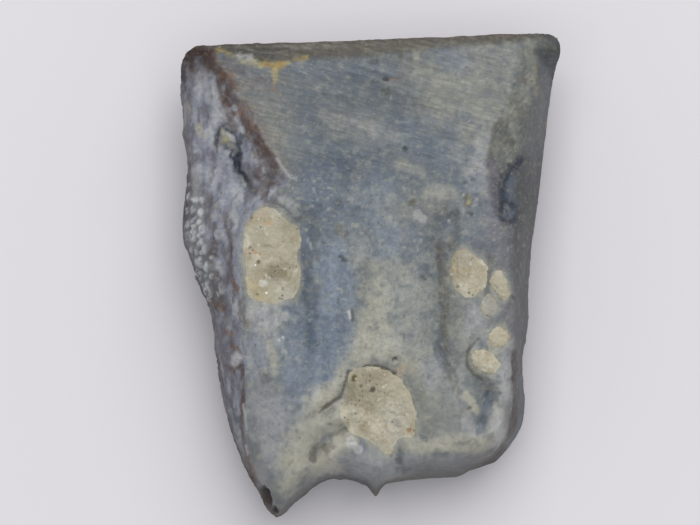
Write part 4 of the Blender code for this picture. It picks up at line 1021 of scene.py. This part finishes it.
def under_surface():
    """The underside's grid, made in the same way, with long striae of enamel in place of scratches."""
    x, y = plan_grid(COLUMNS // 2, ROWS // 2)
    inset = distance(silhouette(), x, y)
    z = under_height(x, y, inset)
    points = np.stack([x, y, z], axis=-1)
    standing = smoothstep(0.0, 0.15, z)
    relief = 0.04 * layered_noise(x, y, z, 0.9, 71) + 0.025 * noise(x * 2.5, y * 0.4, z, 0.5, 75)
    relief += 0.02 * layered_noise(x, y, z, 0.22, 79)
    relief = (relief - 0.04) * standing
    tint = np.broadcast_to(np.array(COLOUR["slate"]), (*x.shape, 3)).copy()
    blotches = layered_noise(x, y * 0.6, z, 1.1, 77, 4)
    striae = layered_noise(x * 2.2, y * 0.5, z, 0.4, 81, 4)
    beside_flank = smoothstep(-2.2, -4.8, x + 0.8 * blotches)
    for name, share in (
        ("blue", 0.6 * smoothstep(-0.2, 0.7, blotches)),
        ("warm grey", 0.6 * smoothstep(0.0, 0.8, -blotches)),
        ("brown", 0.5 * smoothstep(0.3, 1.0, layered_noise(x, y, z, 0.5, 83, 3))),
        ("cream", 0.45 * smoothstep(0.3, 0.0, z)),
        ("lavender", np.clip(0.3 - 0.7 * blotches, 0, 1) * beside_flank),
        ("purple", np.clip(0.35 + 0.7 * blotches, 0, 1) * beside_flank),
        ("brown", 0.6 * smoothstep(0.5, 0.0, inset + 0.2 * striae) * beside_flank),
        ("slate", 0.4 * smoothstep(0.1, 0.6, striae)),
        ("warm grey", 0.35 * smoothstep(0.1, 0.6, -striae)),
    ):
        lay(tint, name, share)
    looks = np.dstack([tint, np.full(x.shape, 0.3), np.zeros(x.shape), np.ones(x.shape)])
    return points - normals(points) * relief[..., None], looks


def quads(index):
    """The four corners of each square of a grid of point numbers, going round it."""
    corners = [index[:-1, :-1], index[:-1, 1:], index[1:, 1:], index[1:, :-1]]
    return np.stack(corners, axis=-1).reshape(-1, 4)


def closed_tooth():
    """Joins both grids at the silhouette. Each of the underside's outer squares also takes in the rim point
    in the middle of its outer edge, so it has five corners. At a corner of the plan it would have six, and
    is parted in two from that corner inwards, so that none of its edges cuts the corner off. Both grids
    are turned by a quarter for each side, so that the side is their first row."""
    top, top_looks = upper_surface()
    under, under_looks = under_surface()
    rows, columns = top.shape[:2]
    top_index = np.arange(rows * columns).reshape(rows, columns)
    index = np.full(under.shape[:2], -1)
    middle = index[1:-1, 1:-1]
    middle[:] = rows * columns + np.arange(middle.size).reshape(middle.shape)
    for edge in (np.s_[0, :], np.s_[-1, :], np.s_[:, 0], np.s_[:, -1]):
        index[edge] = top_index[edge][::2]
    faces = quads(top_index).tolist() + quads(middle)[:, ::-1].tolist()
    for quarters in range(4):
        low, high = np.rot90(index, quarters), np.rot90(top_index, quarters)
        side = [low[1, 1:-2], low[1, 2:-1], low[0, 2:-1], high[0, 3:-2:2], low[0, 1:-2]]
        corner = [
            [low[0, 0], high[1, 0], low[1, 0], low[1, 1]],
            [low[0, 0], low[1, 1], low[0, 1], high[0, 1]],
        ]
        faces += np.stack(side, axis=-1).tolist() + np.array(corner).tolist()
    points = np.vstack([top.reshape(-1, 3), under[1:-1, 1:-1].reshape(-1, 3)])
    looks = np.vstack([top_looks.reshape(-1, 6), under_looks[1:-1, 1:-1].reshape(-1, 6)])
    return points, faces, looks


def add_piece(name, points, faces, tint, **shares):
    """A mesh object with attributes at its points: tint, a colour, and each named share from 0 to 1."""
    mesh = bpy.data.meshes.new(name)
    mesh.from_pydata((points * MM).tolist(), [], faces)
    colour = np.column_stack([tint, np.ones(len(tint))]).astype(np.float32)
    mesh.attributes.new("tint", "FLOAT_COLOR", "POINT").data.foreach_set("color", colour.ravel())
    for share, values in shares.items():
        mesh.attributes.new(share, "FLOAT", "POINT").data.foreach_set("value", values.astype(np.float32))
    mesh.shade_smooth()
    piece = bpy.data.objects.new(name, mesh)
    bpy.context.scene.collection.objects.link(piece)
    return piece


def noise_node(tree, coordinates, scale, detail, roughness=0.5):
    """Noise with the given number of cells to a metre."""
    node = tree.nodes.new("ShaderNodeTexNoise")
    node.inputs["Scale"].default_value = scale
    node.inputs["Detail"].default_value = detail
    node.inputs["Roughness"].default_value = roughness
    tree.links.new(coordinates, node.inputs["Vector"])
    return node.outputs["Fac"]


def map_range(tree, value, low, high, to_low, to_high):
    """The value brought in a straight line from one range to another, and held there."""
    node = tree.nodes.new("ShaderNodeMapRange")
    for socket, number in zip(node.inputs[1:5], (low, high, to_low, to_high)):
        socket.default_value = number
    tree.links.new(value, node.inputs["Value"])
    return node.outputs["Result"]


def worked(tree, kind, operation, *values):
    """One step of arithmetic on sockets and plain numbers."""
    node = tree.nodes.new(kind)
    node.operation = operation
    for socket, value in zip(node.inputs, values):
        if isinstance(value, bpy.types.NodeSocket):
            tree.links.new(value, socket)
        else:
            socket.default_value = value
    return node.outputs[0]


def scaled_colour(tree, colour, factor):
    """Each channel of the colour times the factor."""
    return worked(tree, "ShaderNodeVectorMath", "MULTIPLY", colour, factor)


def mix_colour(tree, share, below, above):
    """A colour laid over another by the share."""
    node = tree.nodes.new("ShaderNodeMix")
    node.data_type = "RGBA"
    node.inputs[7].default_value = above
    tree.links.new(share, node.inputs[0])
    tree.links.new(below, node.inputs[6])
    return node.outputs[2]


def attribute(tree, name, socket):
    """A value that the mesh carries at its points."""
    node = tree.nodes.new("ShaderNodeAttribute")
    node.attribute_name = name
    return node.outputs[socket]


def new_material(name):
    """A material with its node tree, the Object coordinates and the shader."""
    made = bpy.data.materials.new(name)
    made.use_nodes = True
    tree = made.node_tree
    coordinates = tree.nodes.new("ShaderNodeTexCoord").outputs["Object"]
    return made, tree, coordinates, tree.nodes["Principled BSDF"]


def bump_node(tree, height, strength, depth):
    """A normal tilted by the slope of the height."""
    node = tree.nodes.new("ShaderNodeBump")
    node.inputs["Strength"].default_value = strength
    node.inputs["Distance"].default_value = depth
    tree.links.new(height, node.inputs["Height"])
    return node.outputs["Normal"]


def stretched(tree, coordinates, degrees, scale):
    """The coordinates turned about Z and then divided by the scale, so that noise on them runs in streaks
    along the direction at that angle to X."""
    node = tree.nodes.new("ShaderNodeMapping")
    node.vector_type = "TEXTURE"
    node.inputs["Rotation"].default_value[2] = math.radians(degrees)
    node.inputs["Scale"].default_value = scale
    tree.links.new(coordinates, node.inputs["Vector"])
    return node.outputs["Vector"]


def swing(tree, noise_value, reach, share):
    """A factor around 1: the noise's middle range brought to plus and minus the reach, times the share."""
    around = map_range(tree, noise_value, 0.3, 0.7, -reach, reach)
    return worked(tree, "ShaderNodeMath", "MULTIPLY_ADD", around, share, 1.0)


def fossil_material():
    """Mineralised dentine: the stains from the tint, broken up by cream and blue grains, pale and dark
    specks and scratches across the facet, under a satin gloss that the crust takes away."""
    made, tree, coordinates, shader = new_material("fossil dentine")
    grain = noise_node(tree, coordinates, 9000.0, 4.0, 0.65)
    grainy = attribute(tree, "grainy", "Fac")
    colour = scaled_colour(tree, attribute(tree, "tint", "Color"), swing(tree, grain, 0.2, grainy))

    hue = noise_node(tree, stretched(tree, coordinates, -18.0, (1.0, 0.7, 1.0)), 3600.0, 3.0, 0.6)
    for low, high, most, grain_colour in (
        (0.52, 0.72, 0.3, (0.34, 0.33, 0.26, 1.0)),
        (0.48, 0.28, 0.32, (0.085, 0.105, 0.135, 1.0)),
    ):
        colour = mix_colour(tree, map_range(tree, hue, low, high, 0.0, most), colour, grain_colour)

    lines = noise_node(tree, stretched(tree, coordinates, -15.0, (1.0, 0.125, 1.0)), 1800.0, 3.0, 0.6)
    lines.node.inputs["Distortion"].default_value = 0.5
    colour = scaled_colour(tree, colour, swing(tree, lines, 0.19, attribute(tree, "scratched", "Fac")))

    for scale, low, high, speck_colour in (
        (14000.0, 0.7, 0.78, (0.42, 0.42, 0.38, 1.0)),
        (11000.0, 0.3, 0.22, (0.05, 0.05, 0.055, 1.0)),
    ):
        specks = map_range(tree, noise_node(tree, coordinates, scale, 1.0), low, high, 0.0, 0.55)
        share = worked(tree, "ShaderNodeMath", "MULTIPLY", specks, grainy)
        colour = mix_colour(tree, share, colour, speck_colour)
    tree.links.new(colour, shader.inputs["Base Color"])

    rough = map_range(tree, attribute(tree, "crust", "Fac"), 0.0, 1.0, 0.5, 0.72)
    tree.links.new(rough, shader.inputs["Roughness"])
    tree.links.new(bump_node(tree, grain, 0.35, 0.00002), shader.inputs["Normal"])
    shader.inputs["IOR"].default_value = 1.5
    shader.inputs["Specular IOR Level"].default_value = 0.35
    return made


tooth_points, tooth_faces, tooth_looks = closed_tooth()
crust, scratched, grainy = tooth_looks[:, 3:].T
tooth = add_piece(
    "fossil_crown", tooth_points, tooth_faces, tooth_looks[:, :3],
    crust=crust, scratched=scratched, grainy=grainy,
)
tooth.data.materials.append(fossil_material())
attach(tooth, "root")
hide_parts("tooth")


# The sandstone
# Fine cream sandstone that set in the hollows of the tooth, in three plugs and four crumbs. Each is a lump
# that sticks fast in its hollow: its top bulges a little and is rough with sand grains.

# how far the middle stands above the face, how pale (1) or grey (0), and its share of dark grains
LUMPS = {
    "sandstone_left": (0.07, 0.8, 0.5),
    "sandstone_right": (0.07, 0.9, 0.3),
    "sandstone_base": (0.06, 0.85, 0.45),
    "sandstone_crumb_1": (0.06, 0.9, 0.2),
    "sandstone_crumb_2": (0.02, 0.25, 0.2),
    "sandstone_crumb_3": (0.02, 1.2, 0.0),
    "sandstone_crumb_4": (0.03, 1.0, 0.0),
}
# the greyer, coarser places in the plugs: x, y, radius
COARSE = [(-2.7, 0.1, 0.32), (-0.15, -3.15, 0.42), (-0.5, -3.5, 0.3), (-2.4, 1.45, 0.3)]

# grey places, rusty, black and white grains, and two white dots that are painted glints: colour, x, y,
# radius, strength
SPOTS = [
    ((0.33, 0.3, 0.22), -0.06, -3.22, 0.6, 0.6),
    ((0.34, 0.33, 0.315), 3.42, -0.86, 0.3, 0.75),
    ((0.5, 0.45, 0.35), 0.43, -4.4, 0.45, 0.4),
    ((0.5, 0.47, 0.36), 3.7, -1.74, 0.3, 0.6),
    ((0.4, 0.37, 0.28), 3.3, -0.95, 0.12, 0.6),
    ((0.2, 0.185, 0.19), 0.75, -4.21, 0.131, 0.7),
    ((0.34, 0.18, 0.08), 1.12, -4.44, 0.087, 0.8),
    ((0.45, 0.24, 0.1), 0.43, -4.76, 0.073, 0.6),
    ((0.08, 0.07, 0.055), 0.08, -3.25, 0.093, 0.85),
    ((0.1, 0.09, 0.07), -0.27, -3.19, 0.064, 0.7),
    ((0.1, 0.08, 0.025), -0.46, -2.93, 0.1, 0.9),
    ((0.3, 0.28, 0.2), 0.05, -3.74, 0.232, 0.4),
    ((0.58, 0.53, 0.4), 0.22, -4.32, 0.232, 0.6),
    ((0.56, 0.5, 0.38), 0.69, -3.71, 0.174, 0.4),
    ((0.4, 0.3, 0.17), 0.57, -5.05, 0.174, 0.4),
    ((0.22, 0.2, 0.12), -2.85, 0.15, 0.131, 0.6),
    ((0.22, 0.2, 0.12), -2.56, 0.06, 0.16, 0.6),
    ((0.2, 0.18, 0.11), -2.39, -0.06, 0.102, 0.5),
    ((0.6, 0.59, 0.53), -3.11, -0.2, 0.116, 0.8),
    ((0.46, 0.4, 0.25), -3.43, -0.26, 0.232, 0.6),
    ((0.46, 0.4, 0.25), -3.2, -0.58, 0.174, 0.5),
    ((0.5, 0.27, 0.12), -2.97, 1.51, 0.052, 0.8),
    ((0.5, 0.27, 0.12), -3.31, 0.67, 0.052, 0.7),
    ((0.1, 0.09, 0.07), -3.43, 1.68, 0.052, 0.8),
    ((0.1, 0.09, 0.07), -3.23, 0.41, 0.064, 0.8),
    ((0.1, 0.09, 0.07), -3.46, 0.84, 0.044, 0.7),
    ((0.1, 0.09, 0.07), -3.26, -0.52, 0.052, 0.8),
    ((0.1, 0.09, 0.07), -2.59, -0.64, 0.046, 0.8),
    # these two white dots are painted glints
    ((0.9, 0.9, 0.86), -2.99, -0.49, 0.038, 0.9),
    ((0.9, 0.9, 0.86), -3.31, 0.32, 0.035, 0.9),
    ((0.3, 0.28, 0.22), -3.14, 1.04, 0.232, 0.35),
    ((0.3, 0.27, 0.2), -2.33, 0.9, 0.174, 0.4),
    ((0.34, 0.32, 0.27), -2.76, 1.86, 0.174, 0.5),
    ((0.12, 0.11, 0.08), 2.52, -0.3, 0.046, 0.6),
    ((0.12, 0.11, 0.08), 2.92, 0.49, 0.044, 0.7),
    ((0.42, 0.34, 0.2), 2.46, 0.17, 0.145, 0.2),
    ((0.6, 0.59, 0.53), 2.34, 0.05, 0.05, 0.8),
    ((0.36, 0.35, 0.29), 2.75, 0.5, 0.3, 0.5),
    ((0.4, 0.37, 0.28), 3.8, -0.2, 0.45, 0.6),
    ((0.4, 0.385, 0.33), 0.75, -4.0, 0.5, 0.45),
    ((0.4, 0.38, 0.31), 0.5, -4.75, 0.5, 0.5),
    ((0.4, 0.385, 0.33), -2.4, -0.5, 0.25, 0.5),
]

LUMP_POINTS = 200  # around each lump
LUMP_DEPTH = 0.16  # of its rim below the face


def sandstone_lump(border_points, rise, seed):
    """A closed lump from rings: each ring is the border shrunk to a share of its size, and its height is
    the face's, plus a bulge that falls off with the share's fourth power, plus noise for lumps and grains.
    A second set of rings closes it below."""
    border = smooth_path(border_points, LUMP_POINTS, closed=True)
    span = np.ptp(border, axis=0).max()
    wobble = [layered_noise(*border.T, 0, 0.2, seed + 9 * k) for k in (0, 1)]
    border += 0.035 * np.column_stack(wobble)
    middle = border.mean(axis=0)
    shares = np.concatenate([np.linspace(0.02, 0.9, 44), 1 - 0.1 * np.linspace(0.8, 0, 9) ** 2])
    rings = middle + (border - middle) * shares[:, None, None]
    x, y = rings[..., 0], rings[..., 1]
    bulge = 0.012 + rise * (1 - shares**4)[:, None]
    lumps = 0.036 * min(span, 1.5) * layered_noise(x, y, 0 * x, 0.45, seed + 5, 4)
    grains = 0.02 * noise(x, y, 0 * x, 0.1, seed + 9)
    calm = 1 - 0.7 * (shares**6)[:, None]
    top = np.stack([x, y, open_face(x, y) + bulge + (lumps + grains) * calm], axis=-1)
    below = top[::-1][1:].copy()
    sunk = LUMP_DEPTH + 0.1 * (1 - shares[::-1][1:, None])
    below[..., 2] = open_face(below[..., 0], below[..., 1]) - sunk
    points = np.vstack([top.reshape(-1, 3), below.reshape(-1, 3)])
    total, count = len(shares) * 2 - 1, len(border)
    index = np.arange(total * count).reshape(total, count)
    index = np.hstack([index, index[:, :1]])
    faces = quads(index).tolist()
    faces.append(index[0, :-1][::-1].tolist())
    faces.append(index[-1, :-1].tolist())
    return points, faces


def sandstone_tint(points, paleness, dark_share, seed):
    """The colour of each point, and its share of dark grains: both follow the coarse places and noise."""
    x, y, z = points.T
    pale = layered_noise(x, y, z, 0.35, seed + 20)
    rusty = layered_noise(x, y, z, 0.5, seed + 40)
    coarse = sum(np.exp(-(((x - cx) ** 2 + (y - cy) ** 2) / radius**2)) for cx, cy, radius in COARSE)
    coarse = np.clip(coarse + 0.4 * pale * coarse, 0, 1)
    tint = np.broadcast_to(np.array([0.45, 0.415, 0.31]), points.shape).copy()
    for colour, share in (
        ((0.26, 0.26, 0.22), np.full(len(x), 0.8 * max(1 - paleness, 0))),
        ((0.56, 0.53, 0.43), 0.65 * smoothstep(0.0, 0.6, pale)),
        ((0.33, 0.28, 0.19), 0.6 * smoothstep(0.05, 0.6, rusty)),
        ((0.22, 0.20, 0.15), 0.6 * coarse),
    ):
        lay(tint, colour, share)
    for colour, centre_x, centre_y, radius, strength in SPOTS:
        away = np.hypot(x - centre_x, y - centre_y) + 0.35 * radius * noise(x, y, z, 0.09, seed + 60)
        lay(tint, colour, strength * smoothstep(1.2 * radius, 0.6 * radius, away))
    return tint, np.clip(dark_share * (0.5 + 0.5 * pale) + 0.8 * coarse, 0, 1)


def wavy(tree, coordinates, scale, reach):
    """The coordinates moved by a coloured noise, less its mean, times the reach."""
    colours = noise_node(tree, coordinates, scale, 2.0).node.outputs["Color"]
    centred = worked(tree, "ShaderNodeVectorMath", "SUBTRACT", colours, (0.5, 0.5, 0.5))
    return worked(tree, "ShaderNodeVectorMath", "MULTIPLY_ADD", centred, (reach, reach, reach), coordinates)


def sandstone_material():
    """Sand grains as cells a tenth of a millimetre across: some are round dark, rusty or white dots, and
    more of them are dark where the stone is coarse. Noise adds dust."""
    made, tree, coordinates, shader = new_material("fine sandstone")
    dust = map_range(tree, noise_node(tree, coordinates, 16000.0, 3.0, 0.6), 0.3, 0.7, 0.88, 1.12)
    colour = scaled_colour(tree, attribute(tree, "tint", "Color"), dust)
    cells = tree.nodes.new("ShaderNodeTexVoronoi")
    cells.inputs["Scale"].default_value = 9500.0
    tree.links.new(wavy(tree, coordinates, 9000.0, 0.00006), cells.inputs["Vector"])
    chance = tree.nodes.new("ShaderNodeSeparateColor")
    tree.links.new(cells.outputs["Color"], chance.inputs["Color"])
    dot = map_range(tree, cells.outputs["Distance"], 0.45, 0.2, 0.0, 1.0)
    dark_grains = attribute(tree, "dark_grains", "Fac")
    darker = worked(tree, "ShaderNodeMath", "MULTIPLY_ADD", dark_grains, 0.22, chance.outputs["Red"])
    for channel, low, high, grain_colour in (
        (darker, 0.97, 1.01, (0.1, 0.085, 0.062, 1.0)),
        (chance.outputs["Green"], 0.94, 0.97, (0.32, 0.21, 0.11, 1.0)),
        (chance.outputs["Blue"], 0.9, 0.94, (0.58, 0.56, 0.48, 1.0)),
    ):
        chosen = map_range(tree, channel, low, high, 0.0, 0.7)
        share = worked(tree, "ShaderNodeMath", "MULTIPLY", chosen, dot)
        colour = mix_colour(tree, share, colour, grain_colour)
    tree.links.new(colour, shader.inputs["Base Color"])
    tree.links.new(bump_node(tree, cells.outputs["Distance"], 0.3, 0.00003), shader.inputs["Normal"])
    shader.inputs["Roughness"].default_value = 0.95
    shader.inputs["Specular IOR Level"].default_value = 0.3
    return made


sandstone_finish = sandstone_material()
for number, (node, border) in enumerate(SANDSTONE.items()):
    rise, paleness, dark_share = LUMPS[node]
    seed = 100 + 50 * number
    lump_points, lump_faces = sandstone_lump(border, rise, seed)
    lump_tint, dark_grains = sandstone_tint(lump_points, paleness, dark_share, seed)
    lump = add_piece(f"{node}_lump", lump_points, lump_faces, lump_tint, dark_grains=dark_grains)
    lump.data.materials.append(sandstone_finish)
    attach(lump, "root")
    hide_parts(node)


# The stage
# A plain pale floor, a soft box beyond the worn end and a stronger one overhead, and a camera that looks
# straight down.

FLOOR_SIZE = 3.0
bpy.ops.mesh.primitive_plane_add(size=FLOOR_SIZE)
floor = bpy.context.object
floor.name = "pale_floor"
floor_finish, _, _, floor_shader = new_material("pale floor")
floor_shader.inputs["Base Color"].default_value = (0.732, 0.713, 0.747, 1.0)
floor_shader.inputs["Roughness"].default_value = 0.9
floor_shader.inputs["Specular IOR Level"].default_value = 0.1
floor.data.materials.append(floor_finish)


def soft_box(name, place, size, watts):
    """A square area light that faces the tooth, with its place and size in metres."""
    lamp = bpy.data.lights.new(name, "AREA")
    lamp.size = size
    lamp.energy = watts
    made = bpy.data.objects.new(name, lamp)
    made.location = place
    made.rotation_euler = (-made.location).to_track_quat("-Z", "Y").to_euler()
    bpy.context.scene.collection.objects.link(made)


soft_box("soft_box", (0.05, 0.2, 0.38), 0.32, 0.74)
soft_box("overhead", (0.0, 0.06, 0.5), 0.32, 0.95)

world = bpy.data.worlds.new("studio")
world.use_nodes = True
world.node_tree.nodes["Background"].inputs["Color"].default_value = (0.97, 0.98, 1.0, 1.0)
world.node_tree.nodes["Background"].inputs["Strength"].default_value = 0.4
bpy.context.scene.world = world
bpy.context.scene.view_settings.view_transform = "Standard"

FRAME_WIDTH = 20.3 * MM  # what the picture shows from side to side, at the height of the silhouette's edge
WAIST = 3.0 * MM  # that height
CAMERA_PLACE = (-0.587 * MM, 0.392 * MM, 0.4)
SENSOR_WIDTH = 36.0
camera_data = bpy.data.cameras.new("camera")
camera_data.sensor_width = SENSOR_WIDTH
camera_data.lens = SENSOR_WIDTH * (CAMERA_PLACE[2] - WAIST) / FRAME_WIDTH
camera_data.clip_start = 0.01
camera = bpy.data.objects.new("camera", camera_data)
camera.location = CAMERA_PLACE
bpy.context.scene.collection.objects.link(camera)
bpy.context.scene.camera = camera
